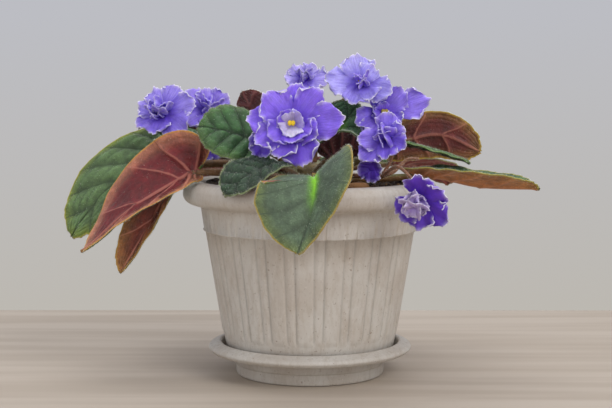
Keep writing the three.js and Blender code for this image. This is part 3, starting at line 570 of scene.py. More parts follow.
def soil_height(x, y):
    r = np.hypot(x, y)
    broad = 0.7 * np.sin(0.31 * x + 1.3) * np.cos(0.27 * y)
    fine = 0.5 * np.sin(0.53 * y - 0.41 * x)
    rough = 0.8 * (broad + fine) * (1 - smooth(r, 50, 57))
    return SOIL_TOP + 2 * smooth(r, 16, 48) + rough + 1.8 * smooth(r, 46, 55)


def lumps(count, draw):
    """Small rough stones: the points and faces of an eight-sided ball, pushed about."""
    stone = []
    for lat in (-0.95, -0.45, 0.2, 0.75):
        r = math.cos(lat)
        stone += [[r * math.cos(a), r * math.sin(a), math.sin(lat)] for a in np.arange(6) * np.pi / 3 + lat]
    stone = np.array(stone)
    faces = []
    for i in range(3):
        for j in range(6):
            k = (j + 1) % 6
            faces.append([i * 6 + j, i * 6 + k, (i + 1) * 6 + k, (i + 1) * 6 + j])
    quads = np.array(faces)
    caps = np.array([[0, 5, 4, 3, 2, 1], [18, 19, 20, 21, 22, 23]])
    points = stone[None] * draw.uniform(0.65, 1.2, (count, 24, 1))
    step = np.arange(count)[:, None, None] * 24
    return points, (quads[None] + step).reshape(-1, 4), (caps[None] + step).reshape(-1, 6)


def soil_bed(shape, draw):
    """The plug of soil, with its hollow for the crown and its rough top."""
    radii = np.concatenate([[SOIL_HOLE, SOIL_HOLE + 0.1], np.linspace(8.6, 54, 44), [56, 57.2]])
    a = turns(SOIL_SIDES)
    rings = []
    for n, r in enumerate(radii):
        x, y = r * np.cos(a), r * np.sin(a)
        rough = draw.uniform(-0.5, 0.5, SOIL_SIDES) * (2 <= n <= 44)
        rings.append(np.stack([x, y, soil_height(x, y) + rough], -1))
    rings[0][:, 2] = CROWN_BOTTOM
    low, foot, side = lathe([[SOIL_HOLE, CROWN_BOTTOM - 1], [43, 16.2], [54.5, 80]], SOIL_SIDES)
    loop = np.array([low, *rings, side, foot])
    walls = grid_faces(len(loop), SOIL_SIDES, wrap=True)
    closing = (len(loop) - 1) * SOIL_SIDES
    j = np.arange(SOIL_SIDES)
    k = (j + 1) % SOIL_SIDES
    under = np.stack([closing + j, j, k, closing + k], -1)
    shape.add(loop.reshape(-1, 3), [np.vstack([walls, under])[:, ::-1]], rib=1.0)


def soil_crumbs(shape, draw):
    """Lumps in four browns all over the soil."""
    count = SOIL_LUMPS
    points, quads, caps = lumps(count, draw)
    reach = np.sqrt(draw.uniform(10**2, 56**2, count))
    turn = draw.uniform(0, 2 * np.pi, count)
    x, y = reach * np.cos(turn), reach * np.sin(turn)
    size = draw.uniform(0.35, 1.25, count) * np.where(reach > 53, 0.6, 1)
    centre = np.stack([x, y, soil_height(x, y) + 0.25 * size], -1)
    squash = draw.uniform(0.6, 1.3, (count, 1, 3))
    points = points * squash * size[:, None, None] + centre[:, None]
    shades = np.array([colour(58, 42, 30), colour(92, 70, 50), colour(38, 29, 23), colour(140, 110, 78)])
    pick = shades[draw.choice(4, count, p=[0.4, 0.25, 0.28, 0.07])]
    shape.add(points.reshape(-1, 3), [quads, caps], tint=np.repeat(pick, 24, 0), rib=0.35)


def bark_chip(shape):
    chip = [[6.2, 0, 0], [2.5, 2.6, 0.6], [-2.8, 2.8, 0.2], [-6.4, 0.4, 0], [-3.2, -2.7, 0.3], [3.1, -2.6, 0]]
    levels = (([1, 1, 0], -3.6), ([1.02, 1.05, 1], 2.1), ([0.8, 0.7, 1.2], 3.7))
    rings = np.array([np.array(chip) * scale + [0, 0, z] for scale, z in levels])
    points, faces = tube(rings @ np.array(Matrix.Rotation(-0.3, 3, "Z")) + CHIP_AT)
    shape.add(points, faces, tint=colour(146, 104, 64), rib=0.25)


def build_soil():
    draw = np.random.RandomState(SOIL_SEED)
    shape = Shape("soil_fine")
    soil_bed(shape, draw)
    soil_crumbs(shape, draw)
    bark_chip(shape)
    shape.finish(SOIL, "peat", "soil")


def build_crown():
    draw = np.random.RandomState(CROWN_SEED)
    root = [[0.01, CROWN_BOTTOM], [6.7, CROWN_BOTTOM], [6.8, 103], [8.3, 105.6], [8.7, 110]]
    top = [[8.5, CROWN_TOP - 2.4], [7.2, CROWN_TOP - 0.6], [4.5, CROWN_TOP], [0.01, CROWN_TOP - 0.4]]
    rings = lathe(rounded(root + top, 1.2), 40, lambda a, z: 0.3 * np.sin(5 * a + z) - 0.25)
    shape = Shape("crown_fine")
    shape.plain(*tube(rings), colour(120, 104, 66))
    turn, height = draw.uniform(0, 2 * np.pi, CROWN_HAIRS), draw.uniform(104, 115, CROWN_HAIRS)
    out = np.stack([np.cos(turn), np.sin(turn), 0 * turn], -1)
    roots = out * 8.0 + np.stack([0 * height, 0 * height, height], -1)
    aim = out + draw.normal(size=out.shape) * 0.4 + [0, 0, 0.3]
    hairs(shape, roots, aim, draw.uniform(0.4, 1.2, CROWN_HAIRS), 0.05, colour(220, 222, 205), draw)
    shape.finish(STEM, "stem", "crown")


# One half of a leaf's outline, in shares of its length and its half width
HALF_OUTLINE = [
    [0.0, 0.05],
    [-0.09, 0.22],
    [-0.14, 0.47],
    [-0.07, 0.72],
    [0.12, 0.91],
    [0.41, 1.0],
    [0.67, 0.91],
    [0.86, 0.66],
    [0.96, 0.36],
    [1.0, 0.03],
]
PETIOLE_RADIUS = 2.1

GREEN = (66, 94, 56)
UNDER_RED = (128, 56, 54)

# What a leaf has where its own entry doesn't say: pairs are for its left and right half, seen from its stalk
LEAF_REST = dict(
    lobe=[1, 1], fold=[[5, 5], [5, 5]], curl=[0, 0], wave=0.6, shoulder=[0, 0], skew=[0, 0], scallop=0.012,
    veins=6, quilt=1.0, cells=0.45, lime=0.35, reach=12, bright=0.42, upper=GREEN, under=UNDER_RED,
)

# The leaves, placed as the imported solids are: points of the stalk and the rib, where the upper side looks at
# the start and the end of the blade, half widths, and folds and curls in degrees. The colours are of the
# upper side, the under side and the margin, sun is the upper side's near its margin, and warm the under's.
# Reach is how far warm spreads from the margin, and bright how much the under side's veins stand out.
LEAVES = [
    dict(
        name="leaf_front", stalk=[[0.5, -9.4, 108.3], [1, -42, 112.5], [2.2, -68, 113.4]],
        rib=[[2.6, -76, 110], [0.2, -82.5, 94.5], [-5.8, -84, 76]], face=[[0, -0.4, 0.9], [-0.1, -1, 0.15]],
        half=[26.5, 29.5], lobe=[1.2, 1.5], fold=[[42, 0], [46, 0]], wave=0.5, upper=(80, 98, 76),
        margin=(172, 148, 62), quilt=0.35, lime=1.0, veins=7, sun=(106, 120, 60), skew=[-1.25, 0.33],
        scallop=0.003, shoulder=[0, 0.12],
    ),
    dict(
        name="leaf_front_left", stalk=[[-4, -8.6, 108.6], [-10, -28, 115], [-16, -44, 117.5]],
        rib=[[-29, -54, 114], [-43.5, -61, 103.5]], face=[[-0.2, -0.25, 1], [-0.3, -0.6, 0.8]],
        half=[15.5, 17], lobe=[0.4, 1], fold=[[12, 8], [10, 16]], wave=0.8, upper=(36, 58, 38),
        under=(92, 36, 36), margin=(118, 132, 84), quilt=2.6, veins=8, lime=0.0,
    ),
    dict(
        name="leaf_left_upper", stalk=[[-7, -6.1, 113], [-16, -16, 122], [-26, -25, 127.5]],
        rib=[[-42, -30, 134], [-59.3, -31, 136.6]], face=[[-0.1, -0.7, 0.7], [-0.2, -0.8, 0.6]],
        half=[17, 19], curl=[-10, -10], upper=(50, 84, 46), margin=(96, 116, 58), quilt=2.7, veins=7,
        cells=0.15, lime=0.0, sun=(88, 120, 62),
    ),
    dict(
        name="leaf_pink", stalk=[[-9.1, -2, 108.3], [-34, -14, 112], [-60, -25, 113.4]],
        rib=[[-70, -30, 109], [-96, -34, 93], [-121, -36, 71]], face=[[0.1, 0.95, 0.3], [0.2, 0.95, 0.2]],
        half=[26, 7], lobe=[0.6, 0.2], fold=[[0, -40], [80, -80]], wave=0.8, under=(102, 24, 30),
        margin=(204, 150, 60), warm=(176, 118, 92), veins=5, quilt=1.3, scallop=0.004,
    ),
    dict(
        name="leaf_left_low", stalk=[[-9.4, 0.8, 113], [-38, -6, 116.5], [-64, -13, 115.5]],
        rib=[[-75, -15.5, 105], [-88, -17, 82.5], [-102.7, -19, 57.5]],
        face=[[-0.3, 0.9, 0.1], [-0.3, 0.9, 0.1]], half=[14.5, 6], lobe=[0.4, 0.2],
        fold=[[5, -70], [5, -80]], under=(110, 48, 36), margin=(172, 132, 48), warm=(150, 104, 58), veins=5,
        scallop=0.006,
    ),
    dict(
        name="leaf_left_outer", stalk=[[-8.6, 4, 108.5], [-36, 11, 119], [-67, 8, 121.5]],
        rib=[[-80, 4, 119], [-110, -2, 102.5], [-131, -6, 75.5]],
        face=[[-0.3, -0.75, 0.6], [-0.6, -0.8, 0.1]], half=[18, 27], lobe=[0.3, 0.5], curl=[-15, -10],
        wave=0.8, upper=(78, 102, 62), margin=(170, 160, 60), quilt=2.8, veins=10, shoulder=[0, 0.4],
        sun=(126, 142, 44), scallop=0.006,
    ),
    dict(
        name="leaf_left_back", stalk=[[-7.1, 6, 112.8], [-34, 26, 120], [-62, 38, 124]],
        rib=[[-88, 44, 124], [-112, 46, 117]], face=[[-0.2, -0.4, 0.9], [-0.4, -0.5, 0.8]], half=[20, 20],
        curl=[-5, -5], upper=(48, 80, 44), margin=(110, 116, 70), quilt=1.4, lime=0.0,
    ),
    dict(
        name="leaf_back_red", stalk=[[-2.5, 9.1, 113], [-10, 24, 120], [-20, 38, 128]],
        rib=[[-32, 48, 142], [-40, 52, 154.5]], face=[[0.3, 0.9, 0.4], [0.3, 0.9, 0.4]], half=[13, 13],
        fold=[[10, 10], [10, 10]], under=(78, 22, 30), margin=(116, 60, 50), warm=(92, 44, 44), bright=0.1,
    ),
    dict(
        name="leaf_right_long", stalk=[[8.7, -3.2, 108.4], [34, -14, 110.5], [56, -20, 111.8]],
        rib=[[72, -22, 109.5], [92, -24, 105.2], [123, -25, 104]], face=[[0.1, 0, 1], [0.1, 0, 1]],
        half=[20, 20], lobe=[0.4, 0.6], fold=[[8, 12], [34, 32]], wave=0.5, under=(172, 112, 66),
        margin=(160, 152, 60), warm=(158, 112, 60), bright=0.3,
    ),
    dict(
        name="leaf_right_mid", stalk=[[9.3, 0.4, 112.8], [30, -3, 121], [48, -6, 127]],
        rib=[[66, -9, 124], [87, -10, 117]], face=[[0.25, 0.1, 1], [0.3, 0.1, 0.95]], half=[17, 17],
        fold=[[3, -3], [3, -3]], wave=0.4, upper=(66, 98, 50), under=(52, 62, 34), margin=(112, 148, 66),
    ),
    dict(
        name="leaf_right_back", stalk=[[8.2, 4.4, 108.4], [28, 18, 118.5], [48, 24, 126]],
        rib=[[74, 26, 131], [97, 24, 121]], face=[[-0.1, 0.9, 0.35], [0, 0.95, 0.2]], half=[15, 13.5],
        under=(100, 42, 40), margin=(190, 160, 56), warm=(134, 96, 52), veins=4, reach=9,
    ),
    dict(
        name="leaf_inner_red", stalk=[[3, -8.8, 112.8], [7, -17, 118], [10, -24, 121]],
        rib=[[19, -31, 126], [28.5, -36, 129.5]], face=[[-0.1, 0.8, 0.5], [-0.1, 0.85, 0.5]], half=[10, 11],
        fold=[[15, 15], [10, 10]], wave=0.5, upper=(84, 116, 80), under=(64, 22, 26), margin=(104, 130, 88),
        warm=(72, 30, 32), bright=0.15,
    ),
    dict(
        name="leaf_centre", stalk=[[7.3, -6.4, 112.8], [11, -8.8, 116], [13, -6, 126]],
        rib=[[19, -4, 138], [26.5, -4, 149]], face=[[-0.2, -0.9, 0.5], [0, -0.9, 0.4]], half=[14, 14],
        fold=[[8, 8], [8, 8]], wave=0.5, upper=(58, 92, 58), margin=(120, 130, 84), quilt=1.4,
    ),
    dict(
        name="leaf_rear_left", stalk=[[-4.9, 7.9, 108.4], [-28, 42, 111.8], [-44, 60, 113]],
        rib=[[-56, 78, 108], [-64, 96, 94]], face=[[-0.1, 0.3, 1], [-0.4, 0.7, 0.6]], half=[24, 24],
        fold=[[8, 8], [8, 8]], curl=[-10, -10], wave=0.8, margin=(140, 138, 76),
    ),
    dict(
        name="leaf_rear", stalk=[[0.6, 9.3, 108.6], [3, 40, 112.4], [5, 64, 114]],
        rib=[[6, 88, 112], [6, 112, 100]], face=[[0, 0.2, 1], [0, 0.6, 0.8]], half=[25, 25],
        fold=[[8, 8], [8, 8]], curl=[-10, -10], wave=0.8, upper=(80, 106, 70), margin=(140, 138, 76),
    ),
    dict(
        name="leaf_rear_right", stalk=[[5.4, 7.6, 112.9], [30, 36, 114], [48, 54, 113.4]],
        rib=[[68, 68, 110], [84, 82, 98]], face=[[0.1, 0.2, 1], [0.5, 0.5, 0.7]], half=[24, 24],
        fold=[[8, 8], [8, 8]], curl=[-10, -10], wave=0.8, upper=(64, 94, 62), margin=(140, 138, 76),
    ),
]


def leaf_line(leaf):
    """The middle line of a leaf, the share of it where the blade starts, and the blade's length."""
    points = [*leaf["stalk"], *leaf["rib"]]
    joint = (len(leaf["stalk"]) - 1) / (len(points) - 1)
    line = spline(points, np.linspace(joint, 1, 21))[0]
    return points, joint, float(np.linalg.norm(np.diff(line, axis=0), axis=1).sum())


def leaf_face(leaf, tangent, share):
    """Where the upper side looks at a share of the blade, square to the middle line."""
    first, last = unit(leaf["face"][0]), unit(leaf["face"][1])
    hint = lerp(first, last, np.clip(share, 0, 1)[..., None])
    return unit(hint - tangent * (hint * tangent).sum(-1, keepdims=True))


def leaf_points(leaf, along, out):
    """Points of the blade at shares of its length and distances from the rib, the left side above zero."""
    points, joint, length = leaf_line(leaf)
    t = joint + (1 - joint) * np.maximum(along, 0)
    centre, tangent = spline(points, t)
    centre = centre + tangent * (np.minimum(along, 0) * length)[..., None]
    face = leaf_face(leaf, tangent, along)
    left = np.cross(face, tangent)
    side = (out < 0).astype(int)
    share = np.clip(along, 0, 1)
    fold = np.radians(lerp(np.array(leaf["fold"][0])[side], np.array(leaf["fold"][1])[side], share))
    half = np.array(leaf["half"], float)[side]
    curl = np.radians(np.array(leaf["curl"], float))[side]
    reach = np.abs(out)
    step = reach / 6
    x = np.zeros_like(reach)
    z = leaf["wave"] * (reach / half) ** 2 * np.sin(9 * along + 3 * side + length)
    for k in range(6):
        angle = fold + curl * step * (k + 0.5) / half
        x += np.cos(angle) * step
        z += np.sin(angle) * step
    return centre + left * np.where(out < 0, -x, x)[..., None] + face * z[..., None]


def normals(grid):
    return unit(np.cross(np.gradient(grid, axis=0), np.gradient(grid, axis=1)))


def blade_places(leaf, length, t, side, s):
    """Each blade point's share of the length and its distance from the rib, by half outline."""
    along = np.zeros((len(s), len(t)))
    out = np.zeros_like(along)
    for k in (0, 1):
        outline = []
        for p, q in HALF_OUTLINE:
            width = 1 - leaf["shoulder"][k] * (1 - max(p, 0)) ** 3
            width += leaf["skew"][k] * (min(max(p, 0.4), 0.85) - 0.4)
            outline.append([(leaf["lobe"][k] if p < 0 else 1) * p * length, q * leaf["half"][k] * width])
        margin = evenly(outline, len(s), "clamped")[0]
        waves = np.sin(s * 46 + k) * np.sin(s * 117 + 2 * k) - np.abs(np.sin(np.pi * leaf["veins"] * 2 * s))
        scallop = 1 + leaf["scallop"] * waves
        for n in np.flatnonzero(side == k):
            along[:, n] = lerp(0.985 * s**2.2, margin[:, 0] * lerp(1, scallop, t[n] ** 4) / length, t[n])
            out[:, n] = margin[:, 1] * scallop * t[n] * (-1 if k else 1)
    return along, out


def blade_colours(leaf, puff, glow, edge, gap):
    """The upper and the under side's colour and their veins' colour at each point, with painted shade and
    highlights.
    """
    top, under = colour(*leaf["upper"]), colour(*leaf["under"])
    # Painted shade in the creases and sunken veins, painted highlight on the swollen fields of the upper side.
    contrast = min(1, 0.45 + 0.3 * leaf["quilt"])
    upper_tint = lerp(top * (1 + contrast * lerp(-0.5, 0.4, puff)), colour(132, 206, 16), glow)
    if "sun" in leaf:
        upper_tint = lerp(upper_tint, colour(*leaf["sun"]), 0.6 * smooth(edge, 8, 0))
    upper_line = lerp(top * (1 - 0.5 * contrast), colour(140, 214, 24), glow)
    warm = colour(*leaf.get("warm", leaf["under"]))
    # Painted shade: the under side is darker in the hollows behind the swollen fields.
    under_tint = lerp(under, warm, smooth(edge, leaf["reach"], 0) * 0.85) * (1.1 - 0.25 * puff)
    under_line = lerp(under_tint, colour(216, 142, 122), leaf["bright"] * smooth(gap, 1.5, 6))
    return (upper_tint, under_tint), (upper_line, under_line)


def leaf_blade(shape, leaf, draw, rows=76, columns=24):
    """The blade as a closed sheet with sunken veins, swollen fields between them and a scalloped margin."""
    length = leaf_line(leaf)[2]
    veins, quilt = leaf["veins"], leaf["quilt"]
    s = np.linspace(0, 1, rows + 1)
    j = np.arange(-columns, columns + 1)
    t = np.sin(np.abs(j) / columns * np.pi / 2) ** 0.92
    side = (j < 0).astype(int)
    along, out = blade_places(leaf, length, t, side, s)
    down = s[:, None]
    grid = leaf_points(leaf, along, out)
    normal = normals(grid)
    v = veins * down + 0.22 * np.sin(3.1 * t + 4 * down) * (t * (1 - t))
    swell = np.abs(np.sin(np.pi * v)) ** 0.75
    ripple = np.abs(np.cos(np.pi * (5.2 * t**1.1 + 0.37 * np.floor(v) + 0.4 * side)))
    cells = 1 - ripple**3 * leaf["cells"]
    inside = smooth(t, 0.0, 0.16) * (1 - smooth(t, 0.8, 1))
    rough = draw.uniform(0.85, 1.15, (rows + 1, len(j)))
    lift = quilt * (0.95 * swell * cells * rough - 0.15) * inside
    frill = 0.35 * t**6 * np.sin(40 * down + 3 * side + length)
    grid = grid + normal * (lift + frill)[..., None]
    normal = normals(grid)
    gap = np.linalg.norm(np.gradient(grid, s, axis=0), axis=-1) / veins
    from_rib = np.abs(out)
    edge = np.linalg.norm(grid - np.where(side[:, None], grid[:, :1], grid[:, -1:]), axis=-1)
    to_vein = np.abs(v - np.round(v)) * gap
    half = lerp(0.5, 0.32, smooth(t, 0.75, 1)) * np.ones_like(v)
    ridge = lerp(1.7, 0.1, down) * np.exp(-((from_rib / 1.25) ** 2))
    net = 0.6 * np.exp(-((to_vein / 1.1) ** 2)) * (1 - smooth(t, 0.7, 1)) * np.sqrt(quilt)
    groove = 0.35 * np.exp(-((from_rib / 0.9) ** 2)) * (1 - down)
    upper = grid + normal * (half - groove)[..., None]
    lower = grid - normal * (half + ridge + net)[..., None]
    glow = np.exp(-((from_rib / 2.4) ** 2) - (np.clip(along - 0.15, -1, 1) / 0.38) ** 4) * leaf["lime"]
    # The swollen share of each point sets the painted shade and highlights of the fields.
    tints, lines = blade_colours(leaf, *(x[..., None] for x in (swell * cells * inside, glow, edge, gap)))

    def both(top, under, width=1):
        return np.concatenate([top.reshape(-1, width), under.reshape(-1, width)]).squeeze()

    shape.add(
        both(upper, lower, 3),
        sheet_faces(rows + 1, len(j)),
        tint=both(*tints, 3),
        line=both(*lines, 3),
        rim=colour(*leaf["margin"]),
        vein=both(v, v),
        gap=both(gap, gap / lerp(1.3, 0.9, t)),
        edge=both(edge, edge),
        rib=both(from_rib, from_rib / lerp(1.3, 0.45, down)),
    )
    return grid, normal


def leaf_petiole(shape, leaf, draw, sides=14):
    """The leaf stalk, and the rib's root that it runs into beneath the blade."""
    points, joint, _ = leaf_line(leaf)
    end = lerp(joint, 1, 0.2)
    t = np.linspace(0, end, 34)
    centre, tangent = spline(points, t)
    face = leaf_face(leaf, tangent, np.zeros(len(t)))
    left = np.cross(face, tangent)
    r = lerp(PETIOLE_RADIUS, 0.9, smooth(t, 0.75 * joint, end))
    a = turns(sides)
    centre = centre + face * (0.3 - r)[:, None]
    rise = np.sin(a) * np.where(np.sin(a) > 0, 0.85, 1)
    spokes = left[:, None] * np.cos(a)[None, :, None] + face[:, None] * rise[None, :, None]
    rings = centre[:, None] + spokes * r[:, None, None]
    stem = lerp(colour(132, 108, 70), colour(*leaf["under"]), 0.35)
    top = lerp(colour(104, 116, 66), stem, 0.3)
    up = np.tile(smooth(np.sin(a), -0.2, 0.7), len(t))[:, None]
    shape.plain(*tube(rings), lerp(stem, top, up))
    count = PETIOLE_HAIRS
    i, j = draw.randint(0, len(t) - 1, count), draw.randint(0, sides, count)
    aim = spokes[i, j] + draw.normal(size=(count, 3)) * 0.35
    hairs(shape, rings[i, j], aim, draw.uniform(0.7, 1.8, count), 0.045, colour(225, 226, 208), draw)


def leaf_hairs(shape, draw, grid, normal):
    """White hairs: dense along the margin, sparse over both sides."""
    rows, columns = grid.shape[:2]
    white = colour(226, 232, 214)
    count = MARGIN_HAIRS
    i = draw.randint(1, rows - 1, count)
    left = draw.rand(count) < 0.5
    j = np.where(left, columns - 1, 0)
    inner = np.where(left, columns - 3, 2)
    outward = unit(grid[i, j] - grid[i, inner])
    step = draw.rand(count)[:, None]
    roots = lerp(grid[i, j], grid[i + 1, j], step) - outward * 0.1
    aim = outward + normal[i, j] * draw.uniform(-0.5, 0.7, (count, 1)) + draw.normal(size=(count, 3)) * 0.25
    hairs(shape, roots, aim, draw.uniform(0.5, 1.4, count), 0.04, white, draw)
    for count, direction, depth in ((UPPER_HAIRS, 1, 0.5), (UNDER_HAIRS, -1, 0.7)):
        i = draw.randint(0, rows, count)
        j = np.clip((draw.rand(count) * columns).astype(int), 2, columns - 3)
        roots = grid[i, j] + direction * normal[i, j] * depth
        roots += draw.normal(size=roots.shape) * 0.2
        aim = direction * normal[i, j] + draw.normal(size=(count, 3)) * 0.45
        hairs(shape, roots, aim, draw.uniform(0.4, 1.1, count), 0.035, white, draw)


def build_leaf(leaf, seed):
    draw = np.random.RandomState(seed)
    shape = Shape(leaf["name"] + "_fine")
    grid, normal = leaf_blade(shape, leaf, draw)
    leaf_petiole(shape, leaf, draw)
    leaf_hairs(shape, draw, grid, normal)
    shape.finish(LEAF, "green", leaf["name"])


DEEP_VIOLET = (82, 40, 190)
PETAL_SHARES = [0, 0.2, 0.38, 0.55, 0.76, 0.9, 1]
PETAL_WIDTHS = [0.18, 0.5, 0.75, 0.93, 1.03, 0.98, 0.72]

# What a flower has where its own entry doesn't say
FLOWER_REST = dict(closed=False, rise=3, pollen=(166, 144, 60), blend=0.2)

# The flowers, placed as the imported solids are: at is the hub's middle and face the way the flower looks.
# Outer, inner and heart are rings of petals, each [turn, length, half width, lift, and bend if it has one].
# Tint is the petals' colour. A ring can have its own, and blend is how far that goes back to tint at most.
# Rise is the height of the anthers, and pollen their colour.
FLOWERS = [
    dict(
        name="flower_centre", at=[-9, -50, 139], face=[-0.1, -1, 0.25], tint=(152, 118, 250),
        outer=[
            [5, 28, 10.5, 10, 5], [50, 24, 9, 14], [82, 22, 9, 2, 10], [132, 22, 10.5, 14],
            [172, 24, 10, 4, 10], [208, 22, 9, 14], [248, 21, 9, 22, -5], [288, 24, 11, 14, -5],
            [332, 17, 8, 26],
        ],
        inner=[[30, 10, 6, 50], [110, 9, 6, 55], [190, 10, 6, 50], [275, 11, 6, 45]],
        inner_tint=(236, 232, 250), rise=5.2, pollen=(236, 200, 36), blend=0.75,
        heart=[[215, 16, 8, 30], [330, 14, 7, 22, 20], [275, 15, 8, 36, 10], [150, 12, 6, 40, 30]],
        heart_tint=(142, 106, 244),
    ),
    dict(
        name="flower_under", at=[-24, -37, 129.8], face=[-0.3, -0.9, -0.1], closed=True, tint=(92, 58, 190),
        outer=[[150, 8, 5, 16], [215, 9, 5.5, 20], [275, 9, 5.5, 24], [335, 9, 5.5, 20], [60, 8, 6, 12]],
    ),
    dict(
        name="flower_top", at=[27.5, -14, 160], face=[0.05, -0.9, 0.45], tint=(188, 182, 252),
        outer=[
            [100, 16.5, 10.5, 12], [45, 12, 8, 16], [335, 18, 8.5, 12], [290, 14, 8, 24], [245, 16, 9, 16],
            [176, 20, 10, 8],
        ],
        heart=[[60, 9, 5, 60, 80], [330, 9, 5.5, 52, 70], [140, 8, 5, 62, 80], [230, 7, 5, 62, 70]],
        heart_tint=(118, 86, 214),
    ),
    dict(
        name="flower_top_back", at=[-3, 22, 161.5], face=[-0.1, -0.7, 0.7], tint=(188, 176, 246),
        outer=[[170, 12, 8, 14], [112, 11, 8, 16], [50, 11, 8, 14], [350, 15, 8, 12], [240, 11, 8, 16]],
        heart=[[200, 8, 5.5, 50, 60], [320, 8, 5.5, 50, 60], [80, 8, 5.5, 60, 70]],
    ),
    dict(
        name="flower_right", at=[40, -13, 144], face=[0.1, -0.9, 0.35], tint=(154, 130, 240),
        outer=[
            [15, 26, 9, 10], [46, 17, 8, 23], [100, 13, 8, 14], [205, 18, 9, 12], [238, 20, 9, 14],
            [310, 12, 7, 16],
        ],
        heart=[[200, 9, 5.5, 40], [250, 9, 6, 38], [110, 7, 5, 46]],
    ),
    dict(
        name="flower_ruffled", at=[40, -42, 132], face=[-0.15, -0.9, 0.25], tint=(160, 136, 246),
        outer=[
            [85, 14, 7, 22], [20, 12, 6, 26], [330, 13, 6.5, 22], [270, 14, 7, 26], [225, 19, 8, 16],
            [190, 16, 7, 20],
        ],
        heart=[
            [110, 10, 6.5, 52, 70], [195, 11, 6.5, 48, 50], [290, 10, 6.5, 60, 100], [25, 10, 6.5, 50, 90],
        ],
    ),
    dict(
        name="flower_shaded", at=[32.5, -37.5, 116], face=[-0.2, -0.9, -0.2], closed=True,
        tint=(84, 50, 166), outer=[[20, 6, 4.5, 20], [100, 7, 5, 20], [180, 8, 5, 24], [270, 8, 5, 24]],
    ),
    dict(
        name="flower_hanging", at=[55, -64, 102], face=[-0.3, -0.85, -0.35], tint=(110, 64, 196),
        outer=[
            [80, 16, 8.5, 14], [14, 17.5, 9, 14], [325, 19.5, 9, 12], [268, 16, 9.5, 16],
            [218, 14, 8.5, 18],
        ],
        inner=[[150, 10, 4.6, 48], [232, 11, 4.6, 50], [318, 10.5, 4.6, 48], [62, 9, 4, 50]],
        inner_tint=(196, 178, 216), rise=4.7,
        heart=[
            [185, 12, 7.5, 60, 100], [262, 13, 8.5, 54, 110], [338, 12, 7.5, 62, 100], [95, 11, 7, 64, 110],
        ],
        heart_tint=(190, 170, 214), blend=0.3,
    ),
    dict(
        name="flower_left", at=[-81, 3, 144], face=[-0.2, -0.8, 0.5], tint=(168, 152, 242),
        outer=[
            [162, 15, 9, 12], [112, 15, 8, 14], [62, 17, 8.5, 12], [8, 21, 9, 16], [318, 23.5, 10, 14],
            [268, 18, 8.5, 20], [222, 17, 8.5, 12],
        ],
        heart=[
            [205, 12, 7.5, 40, 40], [255, 13, 7.5, 44, 60], [305, 12, 7.5, 40, 50], [20, 10, 6.5, 56, 90],
            [130, 10, 6.5, 56, 90],
        ],
    ),
    dict(
        name="flower_left_inner", at=[-56, 12, 146], face=[0.15, -0.8, 0.5], tint=(166, 144, 244),
        outer=[
            [30, 13, 8, 12], [90, 12, 8, 14], [150, 17, 8.5, 12], [214, 20, 9.5, 12], [262, 15, 8, 20],
            [312, 13, 8, 18],
        ],
        heart=[[225, 11, 7, 42, 50], [295, 11, 7, 44, 60], [165, 9, 6.5, 52, 80], [40, 9, 6.5, 56, 90]],
    ),
    dict(
        name="flower_left_low", at=[-55.4, -2, 125.6], face=[0.1, -0.9, 0.2], closed=True,
        tint=(98, 64, 192),
        outer=[[20, 9, 6, 16], [90, 9, 6, 16], [165, 9, 6, 16], [235, 10, 6, 20], [300, 10, 6, 20]],
    ),
]


def flower_frame(flower):
    face = unit(flower["face"])
    up = unit(np.array([0, 0, 1]) - face * face[2])
    return face, up, np.cross(up, face)


def petal_sheet(flower, plan, plain, draw, rows=24, columns=28):
    """A petal's middle sheet, its direction, its points' shares, and how far off and near the margin is."""
    turn, length, half, lift, bend = (*plan, 0)[:5]
    face, up, right = flower_frame(flower)
    out = right * math.cos(math.radians(turn)) + up * math.sin(math.radians(turn))
    left = np.cross(face, out)
    share = np.linspace(0.06, 1, rows + 1)[:, None] ** 0.9
    across = np.sin(np.linspace(-1, 1, columns + 1) * np.pi / 2)[None, :]
    width = np.interp(share, PETAL_SHARES, PETAL_WIDTHS)
    corner = np.sqrt(1 - 0.25 * np.abs(across) ** 3 * share**6)
    reach = length * share * (1 - 0.2 * share * across**2) * corner
    phase = -1 if draw.rand() < 0.5 else 1
    sway = phase * 1.2 * share**2 * np.cos(2 * np.pi * across) * draw.uniform(0.8, 1.2)
    angle = np.radians(lift + 0.5 * bend * share)
    around = np.arctan2(across * half * 0.8, (share - 0.25) * length * 0.75)
    to_side = (1 - np.abs(across)) * half * width + (1 - smooth(share, 0.35, 0.6)) * 6
    edge = np.minimum((1 - share) * length, to_side)
    near = np.exp(-edge / (0.2 * half + 0.5)) * smooth(share, 0.3, 0.7)
    a, b, c = draw.uniform(0, 2 * np.pi, 3)

    def ripple(*waves):
        return near * sum(size * np.sin(count * around + start) for size, count, start in waves)

    frill = ripple((1.0, 9, a), (0.6, 17, b), (0.3, 33, c))
    fringe = 1 + ripple((0.015, 15, a), (0.018, 27, b), (0.012, 49, c))
    cup = 0.07 * half * (across**2) * share
    overlap = 1.5 * across * smooth(share, 0.3, 0.75)
    rise = reach * np.sin(angle) + sway + overlap + cup + frill * (0.7 if plain else 1)
    reach = reach * np.cos(angle) * fringe
    span = half * width * across * fringe * (1 if plain else 0.95)
    grid = flower["at"] + out * reach[..., None] + left * span[..., None] + face * rise[..., None]
    return grid, out, share, across, edge, near


